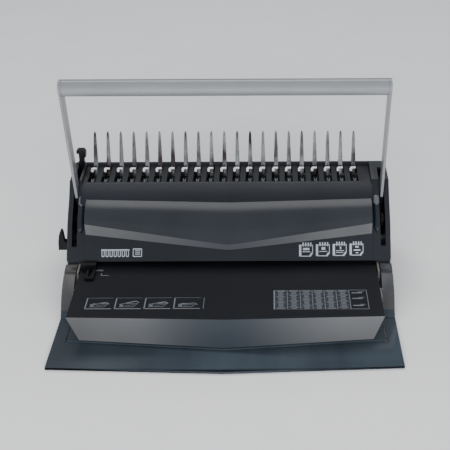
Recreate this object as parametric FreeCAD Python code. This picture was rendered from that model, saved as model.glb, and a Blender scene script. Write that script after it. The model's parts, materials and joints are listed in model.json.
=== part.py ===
"""Manual comb binding machine: punches 21 slots in a sheet and opens a plastic comb.

Design frame while modelling: X to the right from the middle of the body, Y to the back
from the mouth of the paper slot, Z up from the desk.  place_on_origin() then moves every
piece so that the origin is the middle of the whole machine's box, on the desk.
"""
import FreeCAD, Part
import math
import os

V = FreeCAD.Vector

# --- comb standard and body -------------------------------------------------------------
TINE_COUNT = 21            # rings of an A4 plastic comb
TINE_PITCH = 14.2875       # 9/16 inch between rings
TINE_CENTRE_X = -6.2       # the row sits left of the middle
BODY_WIDTH = 345.5         # over both cheeks
CHEEK_WIDTH = 18.75        # each cheek moulding
CHEEK_WALL = 2.5
PANEL_WALL = 2.4           # front panel, deck, rear cover
FIT_GAP = 0.3              # loose clearance between moving pieces
RUN_GAP = 0.06             # radial clearance of running fits
FOOT_HEIGHT = 4.0
FOOT_RADIUS = 9.0
FRONT_FOOT_X = 122.0
REAR_FOOT_X = 140.0

# --- side profile of the body (Y, Z) ----------------------------------------------------
REAR_BOTTOM = (122.0, 4.0)
REAR_TOP = (94.0, 112.0)
TOP_FRONT = (54.0, 108.5)
SHOULDER = (40.0, 92.0)
SHOULDER_LOW = (28.0, 82.0)
VISOR_HALF = BODY_WIDTH / 2.0 - 20.25
PANEL_LEAN = 55.0          # degrees, front panel above the horizontal
CHEEK_FOOT_Y = -0.8        # front of the cheeks below the lip

# --- paper table and punch --------------------------------------------------------------
TABLE_TOP = 36.0
MOUTH_LIP = (-4.0, TABLE_TOP + 4.3)   # lower edge of the front panel
TABLE_WIDTH = BODY_WIDTH - 33.5
TABLE_FOOT_WIDTH = TABLE_WIDTH - 18.0
TABLE_REAR_Y = -7.4
TABLE_DEPTH = 97.6         # at the sides, top face
TABLE_BOW = 5.0            # the front edge bows out at the middle
TABLE_FOOT_DEPTH = 90.1
TABLE_FOOT_BOW = 14.5
TABLE_WALL = 2.5
SKIRT_THICK = 1.6          # plate under the table
THROAT = 2.2               # room for the sheets between die and guide
PLATE_THICK = 4.0
PUNCH_Y = 30.0             # middle of the row of punches
PUNCH_LONG = 8.0           # comb slot, along X
PUNCH_WIDE = 3.0           # comb slot, along Y
PLATE_REAR_Y = 38.0

# --- handle and drive -------------------------------------------------------------------
PIVOT_Y = 58.0
PIVOT_Z = 58.0
HANDLE_REACH = 172.0       # pivot to grip axis
HANDLE_LEAN = 12.4         # degrees forward of upright at rest
HANDLE_FORWARD = 72.0      # degrees from rest down to the end of the punch stroke
HANDLE_BACK = 25.0         # degrees from rest back, comb fully open
GRIP_DIAMETER = 17.0
GRIP_BORE = 13.0
ARM_X = BODY_WIDTH / 2.0 - 8.25      # middle plane of each arm
ARM_THICK = 3.0
ARM_WIDTH = 15.0
ARM_SLOT = 5.4             # width of the slot in the cheek
SLOT_LOW_Z = 52.8          # lower end of that slot in front
SLOT_REAR_Y = 80.0         # its rear end on the right; on the left it runs on to the comb stop
SHAFT_DIAMETER = 12.0
GEAR_TEETH = 13
GEAR_RADIUS = 9.55         # pitch radius, sets punch travel per turn
GEAR_WIDTH = 8.0
GEAR_X = BODY_WIDTH / 2.0 - 27.75
BACKLASH = 0.35

# --- comb opener ------------------------------------------------------------------------
TINE_BASE_Y = 88.0
TINE_BASE_Z = 109.0
TINE_RISE = 39.8           # height of a tine above the deck
TINE_LEAN = 17.0           # degrees backward
TINE_TURN_Z = 100.0        # the tines lean back from here
TINE_THICK = 1.8
TINE_WIDTH = 5.2
TINE_TIP_WIDTH = 2.5       # just under the point
SLOT_WIDTH = 8.6
DECK_Y0 = 52.0
DECK_Z0 = 104.5
DECK_Y1 = 91.0
DECK_Z1 = 108.4
DECK_LEFT = 13.75 - BODY_WIDTH / 2.0    # the recess runs further to the left than to the right
DECK_RIGHT = BODY_WIDTH / 2.0 - CHEEK_WIDTH
HOOK_TRAVEL = 18.0
ROCKER_Y = 72.0
ROCKER_Z = 68.0
ROCKER_ARM = 26.0
HOOK_LUG_X = 112.0         # lugs under the hook plate
KICKER_X = 126.0
SPRING_END_X = 131.0

# --- lid, lever, stop, guide, drawer ----------------------------------------------------
LID_PIVOT_Y = -16.0
LID_PIVOT_Z = 31.0
LID_WALL = 2.5
LID_FRONT_Y = -142.0
LID_BOW = 8.0
LID_LIFT = 0.6             # lid clear of the desk
LID_GAP = 3.2              # from the table's foot to the opening in the lid's sheet
EAR_WIDTH = 12.25
LID_PIN_DIAMETER = 5.0
LEVER_Y = 16.0
LEVER_Z = TABLE_TOP + 13.5
LEVER_SHAFT = 5.0
LEVER_WIDE = 7.2
LEVER_CRANK = 6.0
LEVER_SWING = 20.0         # degrees either way
STRIP_HALF = 136.0         # half length of the depth stop strip
STOP_TRAVEL = 10.0
GUIDE_TRAVEL = 12.0
GUIDE_X = 24.75 - BODY_WIDTH / 2.0
DRAWER_WIDTH = BODY_WIDTH - 65.5
DRAWER_HEIGHT = 20.0
DRAWER_WALL = 1.8
DRAWER_TRAVEL = 90.0

# --- steel inner frame ------------------------------------------------------------------
SIDE_PLATE_X = BODY_WIDTH / 2.0 - 15.75     # inner face
SIDE_PLATE_THICK = 2.0
TRAY_THICK = 1.5
TRAY_FRONT_HALF = 140.0    # half width of the tongue under the table

HALF = BODY_WIDTH / 2.0
INNER_X = HALF - CHEEK_WIDTH
TAN_PANEL = math.tan(math.radians(PANEL_LEAN))
FLOOR_Z = FOOT_HEIGHT
TRAY_TOP = FLOOR_Z + TRAY_THICK
GUIDE_BOTTOM = TABLE_TOP + THROAT
GUIDE_TOP = GUIDE_BOTTOM + PLATE_THICK
TINE_XS = [TINE_CENTRE_X + (i - (TINE_COUNT - 1) / 2.0) * TINE_PITCH for i in range(TINE_COUNT)]


# --- small helpers ----------------------------------------------------------------------
def box(x0, x1, y0, y1, z0, z1):
    return Part.makeBox(x1 - x0, y1 - y0, z1 - z0, V(x0, y0, z0))


def prism_x(points, x0, x1):
    """Extrude a (Y, Z) outline along X."""
    ring = [V(x0, y, z) for y, z in points]
    face = Part.Face(Part.makePolygon(ring + [ring[0]]))
    return face.extrude(V(x1 - x0, 0, 0))


def prism_z(points, z0, z1):
    """Extrude an (X, Y) outline upward."""
    ring = [V(x, y, z0) for x, y in points]
    face = Part.Face(Part.makePolygon(ring + [ring[0]]))
    return face.extrude(V(0, 0, z1 - z0))


def rod_x(y, z, diameter, x0, x1):
    return Part.makeCylinder(diameter / 2.0, x1 - x0, V(x0, y, z), V(1, 0, 0))


def rod_z(x, y, diameter, z0, z1):
    return Part.makeCylinder(diameter / 2.0, z1 - z0, V(x, y, z0), V(0, 0, 1))


def fuse(shapes):
    whole = shapes[0].multiFuse(shapes[1:]) if len(shapes) > 1 else shapes[0]
    return whole.removeSplitter()


def group(shapes):
    """Several separate solids that share one node."""
    return Part.makeCompound(shapes)


def mirror_x(shape):
    return shape.mirror(V(0, 0, 0), V(1, 0, 0))


def panel_y(z):
    """Y of the front panel's outer face at a height."""
    return MOUTH_LIP[0] + (z - MOUTH_LIP[1]) / TAN_PANEL


def round_edges(shape, radius, wanted):
    """Round the edges that the test function picks."""
    picked = [edge for edge in shape.Edges if wanted(edge)]
    return shape.makeFillet(radius, picked) if picked else shape


def along_x(edge):
    ends = edge.Vertexes
    if len(ends) != 2:
        return False
    step = ends[1].Point.sub(ends[0].Point)
    return abs(step.x) > 1.0 and abs(step.y) < 1e-6 and abs(step.z) < 1e-6


def in_plane_x(edge, x):
    return all(abs(vertex.Point.x - x) < 1e-6 for vertex in edge.Vertexes)


# --- casing -----------------------------------------------------------------------------
def cheek_outline():
    return [
        (CHEEK_FOOT_Y, FLOOR_Z),
        REAR_BOTTOM,
        REAR_TOP,
        TOP_FRONT,
        SHOULDER,
        SHOULDER_LOW,
        (panel_y(SHOULDER_LOW[1] - 10.0), SHOULDER_LOW[1] - 10.0),
        MOUTH_LIP,
        (CHEEK_FOOT_Y, MOUTH_LIP[1] - 0.3),
    ]


def side_plate_outline():
    """Steel side plate, inside the cheek, with a lug forward for the lid pin."""
    return [
        (3.0, TRAY_TOP),
        (REAR_BOTTOM[0] - 5.0, TRAY_TOP),
        (REAR_TOP[0] - 1.5, REAR_TOP[1] - 9.0),
        (TOP_FRONT[0] + 3.0, TOP_FRONT[1] - 7.5),
        (SHOULDER[0] + 4.0, SHOULDER[1] - 4.0),
        (SHOULDER_LOW[0] + 4.0, SHOULDER_LOW[1] - 5.0),
        (panel_y(48.0) + 6.5, 48.0),
        (4.0, MOUTH_LIP[1] - 1.2),
        (LID_PIVOT_Y - 5.0, LID_PIVOT_Z + 6.0),
        (LID_PIVOT_Y - 8.0, LID_PIVOT_Z),
        (LID_PIVOT_Y - 5.0, LID_PIVOT_Z - 6.0),
        (3.0, LID_PIVOT_Z - 10.0),
    ]


def cheek(side):
    outline = cheek_outline()
    body = prism_x(outline, INNER_X, HALF)
    body = round_edges(body, 2.2, lambda edge: in_plane_x(edge, HALF) and edge.Length > 3.0)
    ring = [V(INNER_X - 1.0, y, z) for y, z in outline]
    inner = Part.makePolygon(ring + [ring[0]]).makeOffset2D(-CHEEK_WALL, 2)
    hollow = Part.Face(inner).extrude(V(CHEEK_WIDTH - CHEEK_WALL + 1.0, 0, 0))
    body = body.cut(hollow)
    # vertical slot that the arm swings in, from the rear of the top face to its low end
    slot_rear = SLOT_REAR_Y if side > 0 else REAR_TOP[0] - 2.0
    slot = box(ARM_X - ARM_SLOT / 2, ARM_X + ARM_SLOT / 2, -10.0, slot_rear, SLOT_LOW_Z, 130.0)
    body = body.cut(slot)
    # open underneath, where the tray comes in, and in front, where the plates pass
    under = box(INNER_X - 1, HALF - CHEEK_WALL, CHEEK_FOOT_Y + CHEEK_WALL, REAR_BOTTOM[0] - 3.2, 0, FLOOR_Z + 4.0)
    plates = box(INNER_X - 1, SIDE_PLATE_X, -5.0, 3.0, 0, GUIDE_BOTTOM)
    lug = box(SIDE_PLATE_X - 0.1, SIDE_PLATE_X + SIDE_PLATE_THICK + FIT_GAP, -5.0, 3.0, 18.0, MOUTH_LIP[1] - 0.2)
    body = body.cut(under).cut(plates).cut(lug)
    if side < 0:
        body = mirror_x(body)
        body = body.cut(rod_x(LEVER_Y, LEVER_Z, LEVER_SHAFT + 2 * RUN_GAP, -HALF - 1, -INNER_X + 1))
        body = body.cut(box(DECK_LEFT, -INNER_X + 1, SHOULDER[0] - 3.0, DECK_Y1 + 2.6, 85.0, 120.0))
    return body


def side_plate(side):
    x0 = SIDE_PLATE_X
    x1 = SIDE_PLATE_X + SIDE_PLATE_THICK
    plate = prism_x(side_plate_outline(), x0, x1)
    plate = plate.cut(rod_x(PIVOT_Y, PIVOT_Z, SHAFT_DIAMETER + 6.0, x0 - 1, x1 + 1))
    plate = plate.cut(rod_x(LID_PIVOT_Y, LID_PIVOT_Z, LID_PIN_DIAMETER, x0 - 1, x1 + 1))
    plate = plate.cut(rod_x(ROCKER_Y, ROCKER_Z, 8.0 + 2 * RUN_GAP, x0 - 1, x1 + 1))
    if side < 0:
        plate = mirror_x(plate)
        plate = plate.cut(rod_x(LEVER_Y, LEVER_Z, LEVER_SHAFT + 2 * RUN_GAP, -x1 - 1, -x0 + 1))
    return plate


def band_x(outer, thickness_point, x0, x1):
    """A bent sheet: the outer line of points, and the same line shifted by one vector."""
    shift_y, shift_z = thickness_point
    inner = [(y + shift_y, z + shift_z) for y, z in reversed(outer)]
    return prism_x(outer + inner, x0, x1)


def front_panel():
    low = MOUTH_LIP
    high = (panel_y(70.0), 70.0)
    return band_x([low, high], (PANEL_WALL / math.sin(math.radians(PANEL_LEAN)), 0.0), -INNER_X, INNER_X)


def visor_ring(x, top, crown, brow, edge, foot):
    """Closed (Y, Z) section of the visor shell at one X."""
    wall = PANEL_WALL
    outer = [top, crown, brow, edge, foot]
    inner = [
        (foot[0] + 0.4, foot[1] + wall),
        (edge[0] + wall, edge[1] - 0.2),
        (brow[0] + wall * 0.8, brow[1] - wall * 0.7),
        (crown[0] + wall * 0.6, crown[1] - wall),
        (top[0] + 0.6, top[1] - wall),
    ]
    ring = [V(x, y, z) for y, z in outer + inner]
    return Part.makePolygon(ring + [ring[0]])


def visor():
    half = VISOR_HALF
    foot_end = (panel_y(64.1), 64.1)
    foot_mid = (panel_y(50.2), 50.2)
    end = dict(top=(34.0, 95.0), crown=(23.0, 91.0), brow=(15.0, 85.2), edge=(10.9, 77.3), foot=foot_end)
    mid = dict(top=(32.0, 92.0), crown=(17.5, 86.0), brow=(5.5, 74.0), edge=(-1.9, 59.1), foot=foot_mid)
    left = Part.makeLoft([visor_ring(-half, **end), visor_ring(0.0, **mid)], True, True)
    right = Part.makeLoft([visor_ring(0.0, **mid), visor_ring(half, **end)], True, True)
    shell = left.fuse(right)
    # the shell stops at the faces of the front panel and the deck that it is screwed to
    return shell.cut(front_panel()).cut(top_deck())


def top_deck():
    thick = PANEL_WALL
    line = [
        (DECK_Y1 + 1.0, REAR_TOP[1] - 0.6),
        (DECK_Y1, DECK_Z1),
        (DECK_Y0, DECK_Z0),
        (35.0, 94.6),
        (31.5, 90.5),
    ]
    deck = band_x(line, (0.0, -thick), DECK_LEFT, DECK_RIGHT)
    lip = box(DECK_LEFT, DECK_RIGHT, DECK_Y1 + 0.2, DECK_Y1 + 2.6, DECK_Z1 - thick, REAR_TOP[1] - 0.6)
    deck = fuse([deck, lip])
    slots = []
    for x in TINE_XS:
        slots.append(box(x - SLOT_WIDTH / 2 - 0.6, x + SLOT_WIDTH / 2 - 0.6, DECK_Y0 + 5.0, DECK_Y1 - 2.0, 95, 115))
        slots.append(box(x - TINE_WIDTH / 2 - 0.5, x + TINE_WIDTH / 2 + 0.5, DECK_Y1 - 3.0, DECK_Y1 - 0.3, 95, 115))
    return deck.cut(Part.makeCompound(slots))


def rear_cover():
    outer = [
        (DECK_Y1 + 2.6, REAR_TOP[1] - 0.6),
        REAR_TOP,
        REAR_BOTTOM,
    ]
    wall = PANEL_WALL + 0.1
    slope = (REAR_BOTTOM[0] - REAR_TOP[0]) / (REAR_TOP[1] - REAR_BOTTOM[1])
    inner_z = REAR_TOP[1] - (DECK_Y1 + 2.6 + wall - REAR_TOP[0]) / slope
    inner = [
        (REAR_BOTTOM[0] - wall, REAR_BOTTOM[1]),
        (DECK_Y1 + 2.6, inner_z),
    ]
    cover = prism_x(outer + inner, -INNER_X, INNER_X)
    half = DRAWER_WIDTH / 2.0 + FIT_GAP
    door = box(-half, half, 100, 140, 0, TRAY_TOP + DRAWER_HEIGHT + 1.4)
    return cover.cut(door)


# --- base and table ---------------------------------------------------------------------
def base_tray():
    front = TABLE_REAR_Y - 84.0
    flat = [
        box(-SIDE_PLATE_X, SIDE_PLATE_X, 3.0, REAR_BOTTOM[0] - 3.2, FLOOR_Z, TRAY_TOP),
        box(-TRAY_FRONT_HALF, TRAY_FRONT_HALF, front, 4.0, FLOOR_Z, TRAY_TOP),
    ]
    flange = box(SIDE_PLATE_X - TRAY_THICK, SIDE_PLATE_X, 3.0, REAR_BOTTOM[0] - 5.5, FLOOR_Z, TRAY_TOP + 9.0)
    ledge = box(SIDE_PLATE_X - 0.1, SIDE_PLATE_X + SIDE_PLATE_THICK, 3.0, REAR_BOTTOM[0] - 5.5, FLOOR_Z, TRAY_TOP)
    return fuse(flat + [flange, mirror_x(flange), ledge, mirror_x(ledge)])


def table_ring(width, depth, bow, z, inset):
    half = width / 2.0 - inset
    rear = TABLE_REAR_Y + (1.0 if inset else 0.0)
    front = TABLE_REAR_Y - depth + inset
    points = [(-half, rear), (-half, front), (0.0, front - bow), (half, front), (half, rear)]
    ring = [V(x, y, z) for x, y in points]
    return Part.makePolygon(ring + [ring[0]])


def paper_table():
    outer = Part.makeLoft([
        table_ring(TABLE_FOOT_WIDTH, TABLE_FOOT_DEPTH, TABLE_FOOT_BOW, FLOOR_Z, 0.0),
        table_ring(TABLE_WIDTH, TABLE_DEPTH, TABLE_BOW, TABLE_TOP, 0.0)], True, True)
    inner = Part.makeLoft([
        table_ring(TABLE_FOOT_WIDTH, TABLE_FOOT_DEPTH, TABLE_FOOT_BOW, FLOOR_Z, TABLE_WALL),
        table_ring(TABLE_WIDTH, TABLE_DEPTH, TABLE_BOW, TABLE_TOP - TABLE_WALL, TABLE_WALL)], True, True)
    table = outer.cut(inner)
    slot = box(GUIDE_X - 4.0, GUIDE_X + 4.0 + GUIDE_TRAVEL, -18.0, -13.6, TABLE_TOP - 10, TABLE_TOP + 1)
    legs = [box(x - 4, x + 4, y - 4, y + 4, TRAY_TOP, TABLE_TOP - 0.5) for x in (-125, 0, 125) for y in (-80, -25)]
    table = fuse([table] + legs)
    return table.cut(slot)


def lid_opening(gap):
    """Front edge of the opening in the lid's sheet, moved back by a gap: side and middle Y, and its corner X."""
    side_y = TABLE_REAR_Y - TABLE_FOOT_DEPTH - LID_GAP + gap
    return side_y, side_y - TABLE_FOOT_BOW, TABLE_FOOT_WIDTH / 2.0 - 4.4


def table_skirt():
    """Thin plate screwed under the table: it closes the floor from the table's foot to the lid."""
    side_y, middle_y, corner_x = lid_opening(1.0)
    half = HALF - EAR_WIDTH - 1.0
    rear = TABLE_REAR_Y - 0.6
    outline = [(-half, rear), (-half, side_y), (-corner_x, side_y), (0.0, middle_y), (corner_x, side_y),
               (half, side_y), (half, rear)]
    plate = prism_z(outline, FLOOR_Z - SKIRT_THICK, FLOOR_Z)
    for x, y in foot_spots():
        plate = plate.cut(rod_z(x, y, 2.0 * FOOT_RADIUS + 1.0, 0.0, FLOOR_Z + 1.0))
    return plate


def foot_spots():
    return [(-FRONT_FOOT_X, -70.0), (FRONT_FOOT_X, -70.0), (-REAR_FOOT_X, 104.0), (REAR_FOOT_X, 104.0)]


def rubber_feet():
    solids = []
    for x, y in foot_spots():
        cone = Part.makeCone(FOOT_RADIUS, FOOT_RADIUS - 1.0, FOOT_HEIGHT, V(x, y, FOOT_HEIGHT), V(0, 0, -1))
        solids.append(cone.cut(rod_z(x, y, 4.2, -1.0, FOOT_HEIGHT + 1)))
    return group(solids)


def foot_screws():
    solids = []
    for x, y in foot_spots():
        shank = rod_z(x, y, 4.2, 1.6, FOOT_HEIGHT)
        solids.append(shank)
    return group(solids)


# --- punch --------------------------------------------------------------------------------
def punch_slots(clearance, z0, z1):
    long_half = PUNCH_LONG / 2.0 + clearance
    wide_half = PUNCH_WIDE / 2.0 + clearance
    holes = [box(x - long_half, x + long_half, PUNCH_Y - wide_half, PUNCH_Y + wide_half, z0, z1) for x in TINE_XS]
    return Part.makeCompound(holes)


def rack_notches(z0, z1):
    half = GEAR_WIDTH / 2.0 + 1.0
    notch = box(GEAR_X - half, GEAR_X + half, PUNCH_Y + 5.2, PLATE_REAR_Y + 1, z0, z1)
    return Part.makeCompound([notch, mirror_x(notch)])


def die_plate():
    plate = box(-SIDE_PLATE_X, SIDE_PLATE_X, TABLE_REAR_Y + 0.5, PLATE_REAR_Y, TABLE_TOP - PLATE_THICK, TABLE_TOP)
    plate = plate.cut(box(-200, 200, -20, 2.0, 0, TABLE_TOP - 1.6))
    plate = plate.cut(punch_slots(0.08, TABLE_TOP - 10, TABLE_TOP + 1))
    return plate.cut(rack_notches(TABLE_TOP - 10, TABLE_TOP + 1))


def punch_guide_plate():
    lip = 6.0
    profile = [
        (lip, GUIDE_BOTTOM + 2.4),
        (lip + 6.0, GUIDE_BOTTOM),
        (PLATE_REAR_Y, GUIDE_BOTTOM),
        (PLATE_REAR_Y, GUIDE_TOP),
        (lip, GUIDE_TOP),
    ]
    plate = prism_x(profile, -SIDE_PLATE_X, SIDE_PLATE_X)
    plate = plate.cut(punch_slots(0.06, GUIDE_BOTTOM - 1, GUIDE_TOP + 1))
    return plate.cut(rack_notches(GUIDE_BOTTOM - 1, GUIDE_TOP + 1))


def plate_spacers():
    block = box(SIDE_PLATE_X - 2.0, SIDE_PLATE_X, 14.0, PLATE_REAR_Y, TABLE_TOP, GUIDE_BOTTOM)
    return group([block, mirror_x(block)])


BAR_Z0 = 62.0
BAR_Z1 = 71.0


def punch_pins():
    pins = []
    tip = GUIDE_BOTTOM + 0.6
    for x in TINE_XS:
        low = box(x - PUNCH_LONG / 2, x + PUNCH_LONG / 2, PUNCH_Y - PUNCH_WIDE / 2, PUNCH_Y + PUNCH_WIDE / 2, tip, BAR_Z0)
        notch = Part.makeCylinder(3.0, PUNCH_WIDE + 2, V(x, PUNCH_Y - PUNCH_WIDE / 2 - 1, tip - 2.2), V(0, 1, 0))
        pins.append(low.cut(notch))
    return group(pins)


def punch_bar():
    bar = box(TINE_XS[0] - PUNCH_LONG / 2 - 0.4, GEAR_X + 5.0, PUNCH_Y - 4.5, PUNCH_Y + 6.0, BAR_Z0, BAR_Z1)
    return bar


MODULE = 2.0 * GEAR_RADIUS / GEAR_TEETH
ADDENDUM = 0.75 * MODULE
DEDENDUM = 1.05 * MODULE
PRESSURE = math.radians(20.0)


def punch_racks():
    """Two toothed racks on the back of the punch bar, in mesh with the gears."""
    pitch = math.pi * MODULE
    line = PIVOT_Y - GEAR_RADIUS
    thick = pitch / 2.0 - BACKLASH
    z0 = 50.2
    z1 = 75.0
    solids = []
    for side in (-1, 1):
        x0 = side * GEAR_X - GEAR_WIDTH / 2.0
        x1 = side * GEAR_X + GEAR_WIDTH / 2.0
        body = box(x0, x1, PUNCH_Y + 6.0, line - DEDENDUM, z0, z1)
        teeth = []
        count = int((z1 - z0) / pitch) + 2
        for i in range(-count, count + 1):
            middle = PIVOT_Z + (i + 0.5) * pitch
            if middle - thick < z0 + 0.2 or middle + thick > z1 - 0.2:
                continue
            half_tip = thick / 2.0 - ADDENDUM * math.tan(PRESSURE)
            half_root = thick / 2.0 + DEDENDUM * math.tan(PRESSURE)
            outline = [
                (line - DEDENDUM - 0.2, middle - half_root),
                (line + ADDENDUM, middle - half_tip),
                (line + ADDENDUM, middle + half_tip),
                (line - DEDENDUM - 0.2, middle + half_root),
            ]
            teeth.append(prism_x(outline, x0, x1))
        solids.append(fuse([body] + teeth))
    return group(solids)


def gear_tooth_outline(angle):
    """One involute tooth about the shaft, its middle at an angle from +Y towards +Z."""
    base = GEAR_RADIUS * math.cos(PRESSURE)
    tip = GEAR_RADIUS + ADDENDUM
    root = GEAR_RADIUS - DEDENDUM
    roll_pitch = math.tan(PRESSURE) - PRESSURE
    half = (math.pi * GEAR_RADIUS / GEAR_TEETH - BACKLASH) / (2.0 * GEAR_RADIUS)
    flank = []
    steps = 5
    for i in range(steps + 1):
        radius = max(base, root) + (tip - max(base, root)) * i / steps
        tilt = math.acos(min(1.0, base / radius))
        turn = half + roll_pitch - (math.tan(tilt) - tilt)
        flank.append((radius, turn))
    flank.insert(0, (root - 0.3, flank[0][1]))
    points = [(r, angle - t) for r, t in flank] + [(r, angle + t) for r, t in reversed(flank)]
    return [(PIVOT_Y + r * math.cos(a), PIVOT_Z + r * math.sin(a)) for r, a in points]


def gears():
    solids = []
    root = GEAR_RADIUS - DEDENDUM
    for side in (-1, 1):
        x0 = side * GEAR_X - GEAR_WIDTH / 2.0
        x1 = side * GEAR_X + GEAR_WIDTH / 2.0
        wheel = rod_x(PIVOT_Y, PIVOT_Z, 2.0 * root, x0, x1)
        teeth = []
        for i in range(GEAR_TEETH):
            # one tooth points at the rack's gap at the height of the shaft
            angle = math.pi + 2.0 * math.pi * i / GEAR_TEETH
            teeth.append(prism_x(gear_tooth_outline(angle), x0, x1))
        wheel = fuse([wheel] + teeth)
        solids.append(wheel.cut(rod_x(PIVOT_Y, PIVOT_Z, SHAFT_DIAMETER, x0 - 1, x1 + 1)))
    return group(solids)


# --- handle -------------------------------------------------------------------------------
def turned(shape):
    """Lean a piece drawn upright on the pivot to the handle's place at rest."""
    copy = shape.copy()
    copy.rotate(V(0, PIVOT_Y, PIVOT_Z), V(1, 0, 0), HANDLE_LEAN)
    return copy


def grip_axis():
    lean = math.radians(HANDLE_LEAN)
    return PIVOT_Y - HANDLE_REACH * math.sin(lean), PIVOT_Z + HANDLE_REACH * math.cos(lean)


def handle_tube():
    y, z = grip_axis()
    half = ARM_X - ARM_THICK / 2.0
    tube = rod_x(y, z, GRIP_DIAMETER, -half, half)
    return tube.cut(rod_x(y, z, GRIP_BORE, -half - 1, half + 1))


def grip_plugs():
    y, z = grip_axis()
    half = ARM_X - ARM_THICK / 2.0
    plug = rod_x(y, z, GRIP_BORE, half - 14.0, half).cut(rod_x(y, z, 5.0, half - 15.0, half + 1))
    return group([plug, mirror_x(plug)])


def grip_screws():
    y, z = grip_axis()
    outer = ARM_X + ARM_THICK / 2.0
    shank = rod_x(y, z, 5.0, outer - ARM_THICK - 12.0, outer)
    head = Part.makeCone(4.4, 3.2, 2.0, V(outer, y, z), V(1, 0, 0))
    screw = fuse([shank, head])
    return group([screw, mirror_x(screw)])


def arm(side):
    half = ARM_WIDTH / 2.0
    x0 = ARM_X - ARM_THICK / 2.0
    x1 = ARM_X + ARM_THICK / 2.0
    top = PIVOT_Z + HANDLE_REACH
    strap = fuse([
        box(x0, x1, PIVOT_Y - half, PIVOT_Y + half, PIVOT_Z, top),
        rod_x(PIVOT_Y, top, ARM_WIDTH + 2.0, x0, x1),
        rod_x(PIVOT_Y, PIVOT_Z, 22.0, x0, x1),
    ])
    strap = strap.cut(rod_x(PIVOT_Y, PIVOT_Z, SHAFT_DIAMETER, x0 - 1, x1 + 1))
    strap = strap.cut(rod_x(PIVOT_Y, top, 5.0, x0 - 1, x1 + 1))
    strap = turned(strap)
    return strap if side > 0 else mirror_x(strap)


def handle_shaft():
    end = ARM_X + ARM_THICK / 2.0 + 3.4
    shaft = rod_x(PIVOT_Y, PIVOT_Z, SHAFT_DIAMETER, -end, end)
    groove = rod_x(PIVOT_Y, PIVOT_Z, SHAFT_DIAMETER + 2, end - 2.4, end - 1.2)
    groove = groove.cut(rod_x(PIVOT_Y, PIVOT_Z, SHAFT_DIAMETER - 2.0, end - 3, end))
    return shaft.cut(groove).cut(mirror_x(groove))


def shaft_clips():
    """Retaining rings that sit in the shaft's end grooves."""
    end = ARM_X + ARM_THICK / 2.0 + 3.4
    ring = rod_x(PIVOT_Y, PIVOT_Z, SHAFT_DIAMETER + 4, end - 2.4, end - 1.2)
    ring = ring.cut(rod_x(PIVOT_Y, PIVOT_Z, SHAFT_DIAMETER - 2.0, end - 3, end))
    ring = ring.cut(box(end - 3, end, PIVOT_Y - 2.5, PIVOT_Y + 2.5, PIVOT_Z - 12, PIVOT_Z - 4))
    return group([ring, mirror_x(ring)])


def arm_spacers():
    """Collars on the shaft between the side plates' bushes and the arms."""
    x0 = SIDE_PLATE_X + SIDE_PLATE_THICK + 1.2
    x1 = ARM_X - ARM_THICK / 2.0
    collar = rod_x(PIVOT_Y, PIVOT_Z, 17.0, x0, x1).cut(rod_x(PIVOT_Y, PIVOT_Z, SHAFT_DIAMETER, x0 - 1, x1 + 1))
    return group([collar, mirror_x(collar)])


def shaft_bushes():
    x0 = SIDE_PLATE_X
    x1 = SIDE_PLATE_X + SIDE_PLATE_THICK
    sleeve = rod_x(PIVOT_Y, PIVOT_Z, SHAFT_DIAMETER + 6.0, x0 - 3.0, x1)
    flange = rod_x(PIVOT_Y, PIVOT_Z, SHAFT_DIAMETER + 10.0, x0 - 3.0, x0)
    bush = fuse([sleeve, flange])
    bush = bush.cut(rod_x(PIVOT_Y, PIVOT_Z, SHAFT_DIAMETER + 2 * RUN_GAP, x0 - 4, x1 + 1))
    return group([bush, mirror_x(bush)])


def opener_kickers():
    """Levers on the shaft that press the opener's tails when the handle goes back."""
    solids = []
    for side in (-1, 1):
        x = side * KICKER_X
        ring = rod_x(PIVOT_Y, PIVOT_Z, 20.0, x - 3, x + 3)
        toe = box(x - 3, x + 3, PIVOT_Y, PIVOT_Y + 8.0, PIVOT_Z + 2.0, PIVOT_Z + 8.0)
        kicker = fuse([ring, toe])
        solids.append(kicker.cut(rod_x(PIVOT_Y, PIVOT_Z, SHAFT_DIAMETER, x - 4, x + 4)))
    return group(solids)


# --- comb tines and opener ---------------------------------------------------------------
def comb_tines():
    """One stamped steel comb: a strip under the deck with a pointed tine for each ring."""
    lean = math.radians(TINE_LEAN)
    low_z = 90.0
    y_low = TINE_BASE_Y - (TINE_BASE_Z - TINE_TURN_Z) * math.tan(lean)
    x0 = TINE_XS[0] - 6.0
    x1 = TINE_XS[-1] + 6.0
    strip = box(x0, x1, y_low, y_low + TINE_THICK, low_z, 101.0)
    parts = [strip]
    height = TINE_BASE_Z + TINE_RISE - TINE_TURN_Z
    for x in TINE_XS:
        w = TINE_WIDTH / 2.0
        tip = TINE_TIP_WIDTH / 2.0
        outline = [(x - w, 0.0), (x + w, 0.0), (x + w, 8.0), (x + tip, height - 3.0), (x, height),
                   (x - tip, height - 3.0), (x - w, 8.0)]
        ring = [V(px, y_low, TINE_TURN_Z + h) for px, h in outline]
        tine = Part.Face(Part.makePolygon(ring + [ring[0]])).extrude(V(0, TINE_THICK, 0))
        tine.rotate(V(x, y_low, TINE_TURN_Z), V(1, 0, 0), -TINE_LEAN)
        parts.append(tine)
    # feet that carry the strip on the side plates
    foot_right = box(x1 - 1.0, SIDE_PLATE_X, y_low, y_low + TINE_THICK, low_z, 98.0)
    foot_left = box(-SIDE_PLATE_X, x0 + 1.0, y_low, y_low + TINE_THICK, low_z, 98.0)
    return fuse(parts + [foot_right, foot_left])


HOOK_Z = 97.0
HOOK_Y = 83.0


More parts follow.
